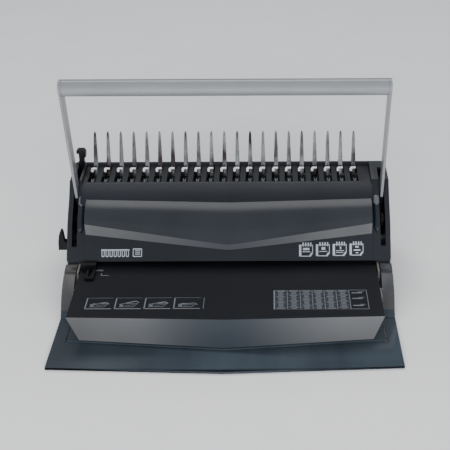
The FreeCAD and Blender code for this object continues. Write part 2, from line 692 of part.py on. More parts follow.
def hook_plate():
    """Sliding plate with one hook beside each tine."""
    x0 = TINE_XS[0] - 5.0
    x1 = TINE_XS[-1] + 4.0
    plate = box(x0, x1, HOOK_Y - 11.0, HOOK_Y + 1.0, HOOK_Z, HOOK_Z + 1.6)
    parts = [plate]
    for x in TINE_XS:
        neck = box(x - 4.4, x - 2.0, HOOK_Y - 2.4, HOOK_Y, HOOK_Z + 1.0, 111.2)
        nose = box(x - 4.4, x + 2.2, HOOK_Y - 2.4, HOOK_Y, 108.8, 111.2)
        parts.append(neck)
        parts.append(nose)
    for side in (-1, 1):
        x = side * HOOK_LUG_X
        lug = box(x - 1.0, x + 1.0, HOOK_Y - 5.0, HOOK_Y + 1.0, HOOK_Z - 5.4, HOOK_Z + 0.4)
        parts.append(lug)
    return fuse(parts)


def hook_guides():
    """Brackets on the side plates that carry the sliding plate's ends."""
    right_end = TINE_XS[-1] + 4.0
    left_end = TINE_XS[0] - 5.0
    solids = []
    for edge, wall in ((left_end, -SIDE_PLATE_X), (right_end, SIDE_PLATE_X)):
        reach = 1.6 if edge > 0 else -1.6
        x0, x1 = sorted((edge - reach, wall))
        shelf = box(x0, x1, 58.0, 85.2, HOOK_Z - 2.3, HOOK_Z - 0.3)
        solids.append(shelf)
    return group(solids)


def opener_levers():
    """Two levers clamped on the opener rod: fork up to the hook plate, tail to the kicker."""
    solids = []
    tip = math.radians(20.2)
    for side in (-1, 1):
        x = side * (HOOK_LUG_X + 4.0)
        hub = rod_x(ROCKER_Y, ROCKER_Z, 16.0, x - 2.0, x + 2.0)
        ty = ROCKER_Y + ROCKER_ARM * math.sin(tip)
        tz = ROCKER_Z + ROCKER_ARM * math.cos(tip)
        ux = math.sin(tip)
        uz = math.cos(tip)
        w = 4.0
        strap = [(ROCKER_Y - w * uz, ROCKER_Z + w * ux), (ty - w * uz, tz + w * ux),
                 (ty + w * uz, tz - w * ux), (ROCKER_Y + w * uz, ROCKER_Z - w * ux)]
        blade = prism_x(strap, x - 2.0, x + 2.0)
        lever = fuse([hub, blade])
        solids.append(lever.cut(rod_x(ROCKER_Y, ROCKER_Z, 8.0, x - 3, x + 3)))
    return group(solids)


def opener_rod():
    return rod_x(ROCKER_Y, ROCKER_Z, 8.0, -SIDE_PLATE_X - SIDE_PLATE_THICK, SIDE_PLATE_X + SIDE_PLATE_THICK)


def opener_springs():
    """Torsion springs wound on the opener rod beside the levers."""
    wire = 1.2
    length = 9.0
    mean = 4.0 + wire / 2.0
    turns = 6.0
    coils = []
    for x0 in (-SPRING_END_X, SPRING_END_X - length):
        helix = Part.makeHelix(length / turns, length, mean)
        ring = Part.Wire(Part.makeCircle(wire / 2.0, V(mean, 0, 0), V(0, 1, 0)))
        coil = Part.Wire(helix).makePipeShell([ring], True, True)
        coil.rotate(V(0, 0, 0), V(0, 1, 0), 90)
        coil.translate(V(x0, ROCKER_Y, ROCKER_Z))
        coils.append(coil)
    return group(coils)


# --- lid ----------------------------------------------------------------------------------
def ear(side):
    """Curved side arm of the lid: top skin, outer wall and a hub on the pin."""
    top = [
        (-5.0, 37.6),
        (-15.0, 36.0),
        (-27.5, 31.4),
        (-38.0, 25.2),
        (-46.0, 17.5),
        (-51.0, 9.5),
        (-54.5, LID_LIFT + LID_WALL),
    ]
    w = LID_WALL
    under = [
        (-57.0, LID_LIFT + 0.1),
        (-53.0, LID_LIFT + 0.2),
        (-48.5, 8.3),
        (-43.8, 15.6),
        (-36.3, 22.8),
        (-26.4, 28.8),
        (-14.4, 33.4),
        (-5.0, 34.8),
    ]
    x0 = HALF - EAR_WIDTH
    x1 = HALF
    skin_points = [top[0]] + top[1:] + [(-60.0, LID_LIFT + w), (-60.0, LID_LIFT)] + under[1:]
    skin = prism_x(skin_points, x0, x1)
    low = [(-5.0, 28.0), (-18.0, 24.0), (-32.0, 14.0), (-40.0, 6.0), (-45.0, LID_LIFT), (-60.0, LID_LIFT),
           (-60.0, LID_LIFT + w)]
    wall_points = top + list(reversed(low))
    wall = prism_x(wall_points, x1 - w, x1)
    hub = rod_x(LID_PIVOT_Y, LID_PIVOT_Z, 11.0, x0, x1)
    bore = rod_x(LID_PIVOT_Y, LID_PIVOT_Z, LID_PIN_DIAMETER + 2 * RUN_GAP, x0 - 5, x1 - 1.2)
    piece = fuse([skin, wall, hub]).cut(bore)
    return piece if side > 0 else mirror_x(piece)


def lid():
    z0 = LID_LIFT
    z1 = LID_LIFT + LID_WALL
    side_y, middle_y, corner_x = lid_opening(0.0)
    inner_x = HALF - EAR_WIDTH
    outline = [
        (-HALF, -58.0), (-HALF, LID_FRONT_Y), (0.0, LID_FRONT_Y - LID_BOW), (HALF, LID_FRONT_Y),
        (HALF, -58.0), (inner_x, -58.0), (inner_x, side_y), (corner_x, side_y),
        (0.0, middle_y), (-corner_x, side_y), (-inner_x, side_y),
        (-inner_x, -58.0),
    ]
    sheet = prism_z(outline, z0, z1)
    return fuse([sheet, ear(1), ear(-1)])


def lid_pins():
    x0 = SIDE_PLATE_X
    pin = rod_x(LID_PIVOT_Y, LID_PIVOT_Z, LID_PIN_DIAMETER, x0, HALF - 1.8)
    return group([pin, mirror_x(pin)])


# --- small controls -------------------------------------------------------------------------
def margin_lever():
    """Lever outside the left cheek on a shaft that ends in a crank inside."""
    x_in = -SIDE_PLATE_X + 4.6
    x_out = -HALF - 1.0
    shaft = rod_x(LEVER_Y, LEVER_Z, LEVER_SHAFT, x_out - 3.0, x_in)
    fin_line = [(10.4, -4.0), (0.9, -4.0), (0.9, 5.2), (3.4, 6.6), (4.2, 15.5), (5.0, 18.3), (6.6, 18.5),
                (8.4, 14.0), (9.8, 6.0)]
    ring = [V(-HALF - out, LEVER_Y - LEVER_WIDE / 2.0, LEVER_Z + up) for out, up in fin_line]
    fin = Part.Face(Part.makePolygon(ring + [ring[0]])).extrude(V(0, LEVER_WIDE, 0))
    crank = box(x_in - 2.4, x_in, LEVER_Y - 2.6, LEVER_Y + 2.6, LEVER_Z, LEVER_Z + LEVER_CRANK + 1.4)
    return fuse([shaft, fin, crank])


def depth_stop_bar():
    """Strip that the sheets' edges meet behind the punches, with a link to the lever's crank."""
    z0 = TABLE_TOP + 0.4
    strip = box(-STRIP_HALF, STRIP_HALF, 34.6, 51.0, z0, GUIDE_BOTTOM - 0.4)
    link_x0 = -SIDE_PLATE_X + 0.4
    tie = box(link_x0, -STRIP_HALF + 6.0, 41.5, 44.5, z0, GUIDE_BOTTOM - 0.4)
    post = box(link_x0, link_x0 + 1.6, 41.5, 44.5, z0, LEVER_Z + LEVER_CRANK + 1.0)
    rail = box(link_x0, link_x0 + 1.6, LEVER_Y - 0.5, 44.5, LEVER_Z + LEVER_CRANK - 2.0, LEVER_Z + LEVER_CRANK + 2.0)
    return fuse([strip, tie, post, rail])


def comb_stop():
    """Post behind the left arm: its cap stops the handle where the comb is open enough."""
    x = -ARM_X
    y0 = 86.0
    y1 = 91.0
    stem = box(x - 2.0, x + 2.0, y0, y1, 104.0, 128.0)
    web = box(x + 1.0, x + 3.6, y0, y1, 113.6, 128.0)
    foot = box(x - 4.6, x + 4.6, y0 - 1.0, y1, 103.4, 105.6)
    flange = box(x - 3.8, x + 3.8, y0 - 1.2, y1 + 0.6, 112.7, 114.4)
    cap_line = [(x - 4.2, 126.0), (x + 3.2, 126.0), (x + 3.4, 121.5), (x + 5.6, 121.5), (x + 6.0, 127.5),
                (x + 4.0, 130.5), (x - 2.6, 130.5), (x - 4.2, 129.0)]
    ring = [V(px, y0 - 1.4, z) for px, z in cap_line]
    cap = Part.Face(Part.makePolygon(ring + [ring[0]])).extrude(V(0, y1 - y0 + 2.4, 0))
    return fuse([stem, web, foot, flange, cap])


def edge_guide():
    """Side stop for the sheets, in a slot of the table."""
    x = GUIDE_X
    low = TABLE_TOP + FIT_GAP
    bar = box(x - 7.0, x + 9.0, -16.0, -9.0, low, TABLE_TOP + 8.0)
    bar = round_edges(bar, 1.5, lambda edge: along_x(edge) and edge.Vertexes[0].Point.z > TABLE_TOP + 7.0)
    legs = [box(left, left + 3.2, -36.0, -15.0, low, TABLE_TOP + 3.4) for left in (x - 0.6, x + 5.8)]
    tie = box(x - 0.6, x + 9.0, -36.0, -32.6, low, TABLE_TOP + 3.4)
    stem = box(x - 3.6, x + 3.6, -17.4, -14.2, TABLE_TOP - 5.0, TABLE_TOP + 1.0)
    clip = box(x - 3.6, x + 3.6, -20.0, -12.0, TABLE_TOP - 5.4, TABLE_TOP - TABLE_WALL - FIT_GAP)
    return fuse([bar, tie, stem, clip] + legs)


def chip_drawer():
    half = DRAWER_WIDTH / 2.0
    z0 = TRAY_TOP + FIT_GAP
    z1 = z0 + DRAWER_HEIGHT
    y0 = 12.0
    y1 = REAR_BOTTOM[0] - 6.0
    wall = DRAWER_WALL
    shell = box(-half, half, y0, y1, z0, z1)
    shell = shell.cut(box(-half + wall, half - wall, y0 + wall, y1 - wall, z0 + wall, z1 + 1))
    front = box(-half, half, y1 - 0.5, y1 + wall + 2.0, z0, z1 + 0.6)
    pull = box(-26.0, 26.0, y1 + 2.0, y1 + 10.0, z0 + 15.0, z0 + 18.0)
    return fuse([shell, front, pull])


# --- fixings ---------------------------------------------------------------------------------
def cover_screws():
    """Screws that hold the rear cover to the side plates' corners."""
    solids = []
    for x in (10.0 - SIDE_PLATE_X, SIDE_PLATE_X - 10.0):
        for z in (40.0, 92.0):
            y = REAR_TOP[0] + (REAR_TOP[1] - z) / (REAR_TOP[1] - REAR_BOTTOM[1]) * (REAR_BOTTOM[0] - REAR_TOP[0])
            head = Part.makeCylinder(3.6, 1.8, V(x, y, z), V(0, REAR_TOP[1] - REAR_BOTTOM[1], REAR_BOTTOM[0] - REAR_TOP[0]))
            solids.append(head)
    return group(solids)


def plate_screws():
    """Screws through the side plates into the die and guide plates."""
    solids = []
    for y in (20.0, 33.0):
        head = rod_x(y, TABLE_TOP - PLATE_THICK / 2.0, 6.0, SIDE_PLATE_X + SIDE_PLATE_THICK,
                     SIDE_PLATE_X + SIDE_PLATE_THICK + 1.6)
        solids += [head, mirror_x(head)]
    for y in (50.0, 95.0):
        head = rod_x(y, TRAY_TOP + 4.5, 6.0, SIDE_PLATE_X + SIDE_PLATE_THICK, SIDE_PLATE_X + SIDE_PLATE_THICK + 1.6)
        solids += [head, mirror_x(head)]
    return group(solids)


def build_nodes():
    nodes = {
        "base_tray": base_tray(),
        "rubber_feet": rubber_feet(),
        "foot_screws": foot_screws(),
        "paper_table": paper_table(),
        "table_skirt": table_skirt(),
        "left_cheek": cheek(-1),
        "right_cheek": cheek(1),
        "side_plate_left": side_plate(-1),
        "side_plate_right": side_plate(1),
        "front_panel": front_panel(),
        "visor": visor(),
        "top_deck": top_deck(),
        "rear_cover": rear_cover(),
        "cover_screws": cover_screws(),
        "plate_screws": plate_screws(),
        "die_plate": die_plate(),
        "punch_guide_plate": punch_guide_plate(),
        "plate_spacers": plate_spacers(),
        "punch_bar": punch_bar(),
        "punch_pins": punch_pins(),
        "punch_racks": punch_racks(),
        "handle_shaft": handle_shaft(),
        "drive_gears": gears(),
        "shaft_bushes": shaft_bushes(),
        "shaft_clips": shaft_clips(),
        "arm_spacers": arm_spacers(),
        "opener_kickers": opener_kickers(),
        "left_arm": arm(-1),
        "right_arm": arm(1),
        "handle_tube": handle_tube(),
        "grip_plugs": grip_plugs(),
        "grip_screws": grip_screws(),
        "comb_tines": comb_tines(),
        "hook_plate": hook_plate(),
        "hook_guides": hook_guides(),
        "opener_levers": opener_levers(),
        "opener_rod": opener_rod(),
        "opener_springs": opener_springs(),
        "comb_stop": comb_stop(),
        "margin_lever": margin_lever(),
        "depth_stop_bar": depth_stop_bar(),
        "edge_guide": edge_guide(),
        "chip_drawer": chip_drawer(),
        "lid": lid(),
        "lid_pins": lid_pins(),
    }
    return nodes


def origin_shift(nodes):
    """Vector from the design frame to the frame with the box's middle, on the desk, at zero."""
    whole = FreeCAD.BoundBox()
    for shape in nodes.values():
        whole.add(shape.BoundBox)
    return V(-whole.Center.x, -whole.Center.y, -whole.ZMin)


def travels():
    """How far each leading joint goes from rest: degrees for the turning ones, mm for the sliding ones."""
    return {
        "handle_swing": (-HANDLE_FORWARD, HANDLE_BACK),
        "hook_slide": (0.0, HOOK_TRAVEL),
        "comb_stop_slide": (-STOP_TRAVEL, 0.0),
        "margin_turn": (-LEVER_SWING, LEVER_SWING),
        "side_guide_slide": (0.0, GUIDE_TRAVEL),
        "drawer_slide": (0.0, DRAWER_TRAVEL),
    }


def main():
    os.makedirs("parts", exist_ok=True)
    nodes = build_nodes()
    shift = origin_shift(nodes)
    for name, shape in nodes.items():
        placed = shape.copy()
        placed.translate(shift)
        placed.exportStep("parts/" + name + ".step")
    print("nodes", len(nodes), "shift", [round(value, 3) for value in shift])
    for joint, (low, high) in travels().items():
        print(joint, "from", low, "to", high)


if __name__ == "__main__":
    main()
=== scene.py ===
# %% [markdown]
# # A comb binding machine
# This lesson dresses a working CAD model of a manual comb binder. The CAD already says where
# everything is and how it moves, so Blender only gives each piece its true surface: soft
# moulded edges, printed marks, satin paint, chrome tines and a smoked clear lid.

# %% Load the frame
import json
import math

import bmesh
import bpy
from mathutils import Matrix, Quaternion, Vector


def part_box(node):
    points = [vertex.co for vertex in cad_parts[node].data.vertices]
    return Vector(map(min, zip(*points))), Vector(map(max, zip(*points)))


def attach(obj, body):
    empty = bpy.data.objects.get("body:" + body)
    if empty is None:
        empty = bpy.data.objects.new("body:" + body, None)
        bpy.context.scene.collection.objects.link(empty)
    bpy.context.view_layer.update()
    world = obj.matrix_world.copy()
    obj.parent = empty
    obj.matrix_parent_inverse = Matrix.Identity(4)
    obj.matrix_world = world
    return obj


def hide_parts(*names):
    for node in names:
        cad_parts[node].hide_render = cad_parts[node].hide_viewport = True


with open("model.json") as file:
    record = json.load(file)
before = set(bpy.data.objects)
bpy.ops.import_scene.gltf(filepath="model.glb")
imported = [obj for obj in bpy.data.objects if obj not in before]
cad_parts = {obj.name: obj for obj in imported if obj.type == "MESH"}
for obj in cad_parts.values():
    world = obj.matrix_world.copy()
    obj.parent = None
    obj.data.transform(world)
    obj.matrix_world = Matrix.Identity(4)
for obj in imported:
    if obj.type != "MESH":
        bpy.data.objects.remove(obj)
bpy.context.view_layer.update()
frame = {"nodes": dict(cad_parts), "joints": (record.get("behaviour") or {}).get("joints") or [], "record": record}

# %% [markdown]
# Every piece is drawn in the machine's own millimetres: X to the right from the middle of the
# body, Y to the back from the mouth of the paper slot, Z up from the desk. The front panel
# tells us where that frame lies, so `at()` turns those millimetres into scene metres.

# %% The machine's own measure
MM = 0.001
LIP_AHEAD = 4.0                       # the panel's lower edge overhangs the slot's mouth
LIP_Z = 40.3
PANEL_LEAN = math.radians(55.0)
panel_low, panel_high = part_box("front_panel")
MID_X = (panel_low[0] + panel_high[0]) / 2
MOUTH_Y = panel_low[1] + LIP_AHEAD * MM


def at(x, y, z):
    """A point given in machine millimetres, in scene metres."""
    return Vector((MID_X + x * MM, MOUTH_Y + y * MM, z * MM))


def panel_y(z):
    """Y of the front panel's outer face at a height."""
    return -LIP_AHEAD + (z - LIP_Z) / math.tan(PANEL_LEAN)


print("middle of the body at x =", round(MID_X, 4), "slot mouth at y =", round(MOUTH_Y, 4))

# %% [markdown]
# ## Finishes
# Moulded plastic is never one flat colour: a fine spark-eroded grain breaks up the gloss, and
# broad soft patches vary it. One function lays both over a base colour, so each finish only
# names its colour, gloss and grain. Numbers that are the same all over sit on the shader.
# Two satin faces carry a painted reflection, which deepens towards the middle of the machine, by their distance
# from it.

# %% A grained finish
GRAIN_DEPTH = 0.0002                  # metres
NOISE_DETAIL = 3.0
PATCH_RANGE = (0.35, 0.65)            # the part of the noise that the two colours share out
FADE_REACH = 0.125                    # metres from the middle to where a middle colour ends


def colour_mix(nodes, links, share, low, high):
    """A colour between two, by a share; a plain colour is set on its socket, a node's output is linked."""
    mix = nodes.new("ShaderNodeMix")
    mix.data_type = "RGBA"
    links.new(share, mix.inputs["Factor"])
    sockets = [socket for socket in mix.inputs if socket.type == "RGBA"]
    for socket, value in zip(sockets, (low, high)):
        if isinstance(value, tuple):
            socket.default_value = value + (1.0,)
        else:
            links.new(value, socket)
    return [socket for socket in mix.outputs if socket.type == "RGBA"][0]


def share_from_middle(nodes, links, where):
    """0 at the middle of the machine, 1 from FADE_REACH outward."""
    apart = nodes.new("ShaderNodeSeparateXYZ")
    links.new(where, apart.inputs["Vector"])
    aside = nodes.new("ShaderNodeMath")
    aside.operation = "SUBTRACT"
    aside.inputs[1].default_value = MID_X
    links.new(apart.outputs["X"], aside.inputs[0])
    distance = nodes.new("ShaderNodeMath")
    distance.operation = "ABSOLUTE"
    links.new(aside.outputs["Value"], distance.inputs[0])
    share = nodes.new("ShaderNodeMapRange")
    share.interpolation_type = "SMOOTHSTEP"
    share.inputs["From Max"].default_value = FADE_REACH
    links.new(distance.outputs["Value"], share.inputs["Value"])
    return share.outputs["Result"]


def noise(nodes, links, where, scale):
    texture = nodes.new("ShaderNodeTexNoise")
    texture.inputs["Scale"].default_value = scale
    texture.inputs["Detail"].default_value = NOISE_DETAIL
    links.new(where, texture.inputs["Vector"])
    return texture.outputs["Fac"]


def grained(name, colour, rough, grain=900.0, bump=0.12, metallic=0.0, patch=14.0, vary=0.12,
            rough_vary=0.06, stretch=(1.0, 1.0, 1.0), alpha=1.0, specular=0.5, second=None, middle=None):
    """A Principled finish whose colour drifts in broad patches and whose gloss breaks up in a fine grain.
    With a middle colour, it also deepens from both ends of the machine to its middle."""
    finish = bpy.data.materials.new(name)
    finish.use_nodes = True
    nodes = finish.node_tree.nodes
    links = finish.node_tree.links
    shader = nodes["Principled BSDF"]
    shader.inputs["Metallic"].default_value = metallic
    shader.inputs["Alpha"].default_value = alpha
    shader.inputs["Specular IOR Level"].default_value = specular
    place = nodes.new("ShaderNodeTexCoord")
    scale = nodes.new("ShaderNodeMapping")
    scale.inputs["Scale"].default_value = stretch
    links.new(place.outputs["Object"], scale.inputs["Vector"])
    broad = noise(nodes, links, scale.outputs["Vector"], patch)
    fine = noise(nodes, links, scale.outputs["Vector"], grain)
    spread = nodes.new("ShaderNodeMapRange")
    spread.inputs["From Min"].default_value, spread.inputs["From Max"].default_value = PATCH_RANGE
    links.new(broad, spread.inputs["Value"])
    low = second or tuple(c * (1 - vary) for c in colour)
    high = colour if second else tuple(min(1.0, c * (1 + vary)) for c in colour)
    result = colour_mix(nodes, links, spread.outputs["Result"], low, high)
    # a middle colour darkens a painted reflection towards the middle of the machine
    if middle:
        share = share_from_middle(nodes, links, place.outputs["Object"])
        result = colour_mix(nodes, links, share, middle, result)
    links.new(result, shader.inputs["Base Color"])
    gloss = nodes.new("ShaderNodeMapRange")
    gloss.inputs["To Min"].default_value = rough - rough_vary
    gloss.inputs["To Max"].default_value = rough + rough_vary
    links.new(fine, gloss.inputs["Value"])
    links.new(gloss.outputs["Result"], shader.inputs["Roughness"])
    if bump:
        relief = nodes.new("ShaderNodeBump")
        relief.inputs["Strength"].default_value = bump
        relief.inputs["Distance"].default_value = GRAIN_DEPTH
        links.new(fine, relief.inputs["Height"])
        links.new(relief.outputs["Normal"], shader.inputs["Normal"])
    return finish


print("finish builder ready, fade reach", FADE_REACH, "m")

# %% [markdown]
# The plastics are nearly black and differ mostly in gloss: a gloss rib, a satin visor, a dull
# table. Some lighter satins are painted highlights and painted reflections. The smoked lid lets a
# little light through. The metals are a painted silver handle, chromed tines with painted
# reflections, bright hooks whose tops are a painted highlight, zinc plated steel, and steel inside
# darkened as painted shade.

# %% The finishes
charcoal = grained("charcoal moulding", (0.0140, 0.0155, 0.0190), 0.42, grain=1500, bump=0.10, specular=0.35)
deck_grain = grained("deck moulding", (0.0120, 0.0135, 0.0170), 0.50, grain=1500, bump=0.12, specular=0.25)
visor_paint = grained("visor satin", (0.0180, 0.0205, 0.0250), 0.36, grain=1800, bump=0.05, specular=0.45)
rib_gloss = grained("rib gloss", (0.0100, 0.0130, 0.0180), 0.22, grain=1500, bump=0.04)
# painted reflection of the desk on the visor's chamfer, darker towards the middle
chamfer_reflection_satin = grained("chamfer painted reflection", (0.098, 0.101, 0.106), 0.45, grain=1600, bump=0.06, patch=9.0, vary=0.14,
                      specular=0.3, middle=(0.068, 0.072, 0.079))
# painted reflection of the desk on the table's front and sides, darker towards the middle
table_front_reflection = grained("table front painted reflection", (0.094, 0.097, 0.102), 0.45, grain=1600, bump=0.06, patch=9.0,
                      vary=0.14, specular=0.3, middle=(0.026, 0.032, 0.040))
# a painted highlight along the deck's bead
bead_highlight_satin = grained("bead painted highlight", (0.040, 0.044, 0.052), 0.38, grain=1500, bump=0.05, specular=0.4)
# painted highlight: the tops of the rib domes, and the V at each slot's front
highlight_satin = grained("satin painted highlight", (0.085, 0.090, 0.100), 0.32, grain=1500, bump=0.04, specular=0.5)
table_grain = grained("table grain", (0.0060, 0.0068, 0.0090), 0.55, grain=1200, bump=0.14, specular=0.18)
black_mould = grained("black moulding", (0.0030, 0.0030, 0.0036), 0.36, grain=1400, bump=0.10, specular=0.28)
# the raised lid arms: smoked clear painted greyer, painted light for the background seen through them
smoked_arm_painted_light = grained("smoked clear arms, painted light", (0.062, 0.060, 0.062), 0.40, grain=500, bump=0.01, patch=16.0,
                     second=(0.034, 0.040, 0.050), rough_vary=0.05, stretch=(1.0, 0.8, 1.4), alpha=0.93,
                     specular=0.3)
smoked = grained("smoked clear", (0.034, 0.045, 0.057), 0.42, grain=500, bump=0.01, patch=5.0,
                 second=(0.024, 0.032, 0.042), rough_vary=0.05, stretch=(4.0, 0.6, 1.0), alpha=0.93,
                 specular=0.22)
silver_paint = grained("handle silver", (0.20, 0.210, 0.222), 0.30, grain=2200, bump=0.05, metallic=0.15,
                       vary=0.04, specular=0.7)
# the broad light grey and dark brown patches on the tines are painted reflections of the room
chrome = grained("tine chrome", (0.40, 0.41, 0.43), 0.24, grain=700, bump=0.02, metallic=0.75, patch=30.0,
                 second=(0.060, 0.050, 0.052), rough_vary=0.05, stretch=(2.2, 1.0, 1.3))
# bright plating; on the hooks' tops it is a painted highlight
plating_and_highlight = grained("bright plating and painted highlight", (0.86, 0.86, 0.86), 0.34, grain=700, bump=0.02, metallic=0.4, vary=0.05)
zinc = grained("zinc plate", (0.16, 0.15, 0.135), 0.42, grain=500, bump=0.08, metallic=0.8, vary=0.15)
# the hook plate is darkened as painted shade, where it lies in the deck's slots
hook_plate_shade = grained("hook plate steel, painted shade", (0.030, 0.032, 0.038), 0.40, grain=500, bump=0.06, metallic=0.5,
                     patch=60.0, second=(0.008, 0.008, 0.012))
# steel darkened as painted shade: next to the openings, and on the arms' hub ends
painted_shade = grained("blackened steel", (0.010, 0.010, 0.012), 0.45, grain=500, bump=0.06, metallic=0.4,
                    vary=0.2)
brass = grained("bearing bronze", (0.30, 0.20, 0.08), 0.4, grain=700, metallic=1.0)
rubber = grained("foot rubber", (0.010, 0.010, 0.010), 0.7, grain=900, bump=0.3)
ink = grained("printed marks", (0.15, 0.165, 0.19), 0.5, grain=900, bump=0.0, vary=0.12)
bright_ink = grained("bright printed marks", (0.31, 0.335, 0.375), 0.5, grain=900, bump=0.0, vary=0.12)
print("finishes:", len(bpy.data.materials))

# %% [markdown]
# The steel inside keeps its CAD shape. Each carried-over node gets the finish that its record
# slot names, so the gears and the other plates read as plated steel where a gap lets them be
# seen. The plates, bars and pins next to the openings are darkened as painted shade, so that an
# opening reads as a dark gap.

# %% Finishes for the carried-over nodes
finish_for_slot = {
    "charcoal_plastic": charcoal,
    "visor_plastic": visor_paint,
    "table_plastic": table_grain,
    "black_plastic": black_mould,
    "smoked_plastic": smoked,
    "handle_silver": silver_paint,
    "bright_steel": plating_and_highlight,
    "plain_steel": zinc,
    "bush_brass": brass,
    "plug_plastic": black_mould,
    "foot_rubber": rubber,
}


def shade(piece, angle=32.0):
    """Smooth shading, kept crisp across edges steeper than the angle."""
    for face in piece.data.polygons:
        face.use_smooth = True
    piece.data.set_sharp_from_angle(angle=math.radians(angle))


# these nodes are darkened as painted shade, so their openings read as dark gaps
SHADED_STEEL_NODES = ("die_plate", "punch_guide_plate", "plate_spacers", "punch_bar", "depth_stop_bar", "hook_guides",
              "lid_pins")
slot_of = {}
for row in frame["record"]["subparts"]:
    slot_of[row["node"]] = row["material_slot"]
    part = frame["nodes"][row["node"]]
    part.data.materials.clear()
    finish = painted_shade if row["node"] in SHADED_STEEL_NODES else finish_for_slot[row["material_slot"]]
    part.data.materials.append(finish)
    shade(part)
body_of = {node: body for body, nodes in frame["record"]["behaviour"]["bodies"].items() for node in nodes}
print("carried-over nodes:", len(slot_of))

# %% [markdown]
# ## Drawing helpers
# Most plastic pieces are outlines pushed through a thickness, or the CAD's own crisp shape
# with its edges softened as a mould softens them. The modifiers are baked, so the mesh that
# is kept is the mesh that is seen.

# %% Pieces, modifiers and soft edges
SAME_POINT = 1e-6                     # metres
CAD_SAME_POINT = 2e-6
FLAT_WITHIN = math.radians(0.6)       # CAD faces that meet at less than this are one flat


def shown_in_scene(name, mesh):
    piece = bpy.data.objects.new(name, mesh)
    bpy.context.scene.collection.objects.link(piece)
    return piece


def add_piece(name, points, faces, finish, body, angle=32.0):
    """A mesh from machine millimetres, in one finish, riding on one body."""
    mesh = bpy.data.meshes.new(name)
    mesh.from_pydata([at(*p) for p in points], [], faces)
    mesh.update()
    work = bmesh.new()
    work.from_mesh(mesh)
    bmesh.ops.remove_doubles(work, verts=work.verts, dist=SAME_POINT)
    bmesh.ops.recalc_face_normals(work, faces=work.faces)
    work.to_mesh(mesh)
    work.free()
    piece = shown_in_scene(name, mesh)
    mesh.materials.append(finish)
    shade(piece, angle)
    if body:
        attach(piece, body)
    return piece


def bake(piece):
    """Keep what the modifiers show as the piece's own mesh."""
    bpy.context.view_layer.update()
    shown = piece.evaluated_get(bpy.context.evaluated_depsgraph_get())
    mesh = bpy.data.meshes.new_from_object(shown)
    piece.modifiers.clear()
    piece.data = mesh
    return piece


def soften(piece, width, segments=3, angle=30.0):
    """Round the edges as a mould does, and keep the flats flat."""
    bevel = piece.modifiers.new("soft edges", "BEVEL")
    bevel.width = width * MM
    bevel.segments = segments
    bevel.limit_method = "ANGLE"
    bevel.angle_limit = math.radians(angle)
    bevel.use_clamp_overlap = True
    bevel.harden_normals = True
    bake(piece)
    return piece


def merge(piece, other):
    """Two pieces become one closed skin."""
    union = piece.modifiers.new("one skin", "BOOLEAN")
    union.operation = "UNION"
    union.solver = "EXACT"
    union.object = other
    bake(piece)
    bpy.data.objects.remove(other)
    return piece


def extrusion(outline, axis, low, high):
    """Points and faces of an outline pushed along one axis."""
    place = {
        "X": lambda a, b, d: (d, a, b),
        "Y": lambda a, b, d: (a, d, b),
        "Z": lambda a, b, d: (a, b, d),
    }[axis]
    count = len(outline)
    points = [place(a, b, low) for a, b in outline] + [place(a, b, high) for a, b in outline]
    faces = [tuple(range(count)), tuple(range(count, 2 * count))]
    faces += [(i, (i + 1) % count, count + (i + 1) % count, count + i) for i in range(count)]
    return points, faces


def pushed(name, outline, axis, low, high, finish, body=None):
    points, faces = extrusion(outline, axis, low, high)
    return add_piece(name, points, faces, finish, body)


def tube_faces(rings, sides, closed=True):
    """Faces of a tube of rings, each of so many points, with its two ends closed or open."""
    faces = []
    for i in range(rings - 1):
        for k in range(sides):
            a, b = i * sides + k, i * sides + (k + 1) % sides
            faces.append((a, b, b + sides, a + sides))
    if closed:
        faces += [tuple(range(sides)), tuple(range((rings - 1) * sides, rings * sides))]
    return faces


def ring_points(x, y, z, radius, sides):
    """Points of a circle round a line along X."""
    turns = [2 * math.pi * k / sides for k in range(sides)]
    return [(x, y + radius * math.cos(t), z + radius * math.sin(t)) for t in turns]


def soft_copy(node, name, width, segments=2, finish=None, angle=30.0):
    """The CAD node's own shape with its flat faces made whole and its edges softened."""
    source = frame["nodes"][node].data
    work = bmesh.new()
    work.from_mesh(source)
    bmesh.ops.remove_doubles(work, verts=work.verts, dist=CAD_SAME_POINT)
    bmesh.ops.dissolve_limit(work, angle_limit=FLAT_WITHIN, verts=work.verts, edges=work.edges)
    bmesh.ops.recalc_face_normals(work, faces=work.faces)
    mesh = bpy.data.meshes.new(name)
    work.to_mesh(mesh)
    work.free()
    mesh.materials.clear()
    mesh.materials.append(finish or finish_for_slot[slot_of[node]])
    piece = shown_in_scene(name, mesh)
    shade(piece, angle)
    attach(piece, body_of[node])
    soften(piece, width, segments, angle)
    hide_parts(node)
    return piece


def joined(name, pieces):
    """Several meshes become one piece with one name."""
    whole = pieces[0]
    work = bmesh.new()
    for piece in pieces:
        work.from_mesh(piece.data)
    work.to_mesh(whole.data)
    work.free()
    for piece in pieces[1:]:
        bpy.data.objects.remove(piece)
    whole.name = name
    return whole


def smooth_line(points, steps):
    """A curve through the points (Catmull-Rom)."""
    line = []
    last = len(points) - 1
    for i in range(last):
        a, b, c, d = (Vector(points[max(0, min(last, k))]) for k in (i - 1, i, i + 1, i + 2))
        for k in range(steps):
            t = k / steps
            line.append(0.5 * ((2 * b) + (c - a) * t + (2 * a - 5 * b + 4 * c - d) * t * t
                               + (3 * b - a - 3 * c + d) * t ** 3))
    line.append(Vector(points[last]))
    return line


print("softest CAD seam kept:", round(math.degrees(FLAT_WITHIN), 2), "degrees")

# %% [markdown]
# ## The visor
# The raised front cover is one soft curve: it rounds over at the top, hangs forward, and ends
# in a chamfer whose lower edge makes a shallow V. The chamfer is painted lighter, a painted
# reflection of the desk, and darker towards the middle. It could be a lofted patch; here a
# grid is simpler, because each column is the same rounded section moved a little further
# forward and down towards the middle, and the V appears by itself.

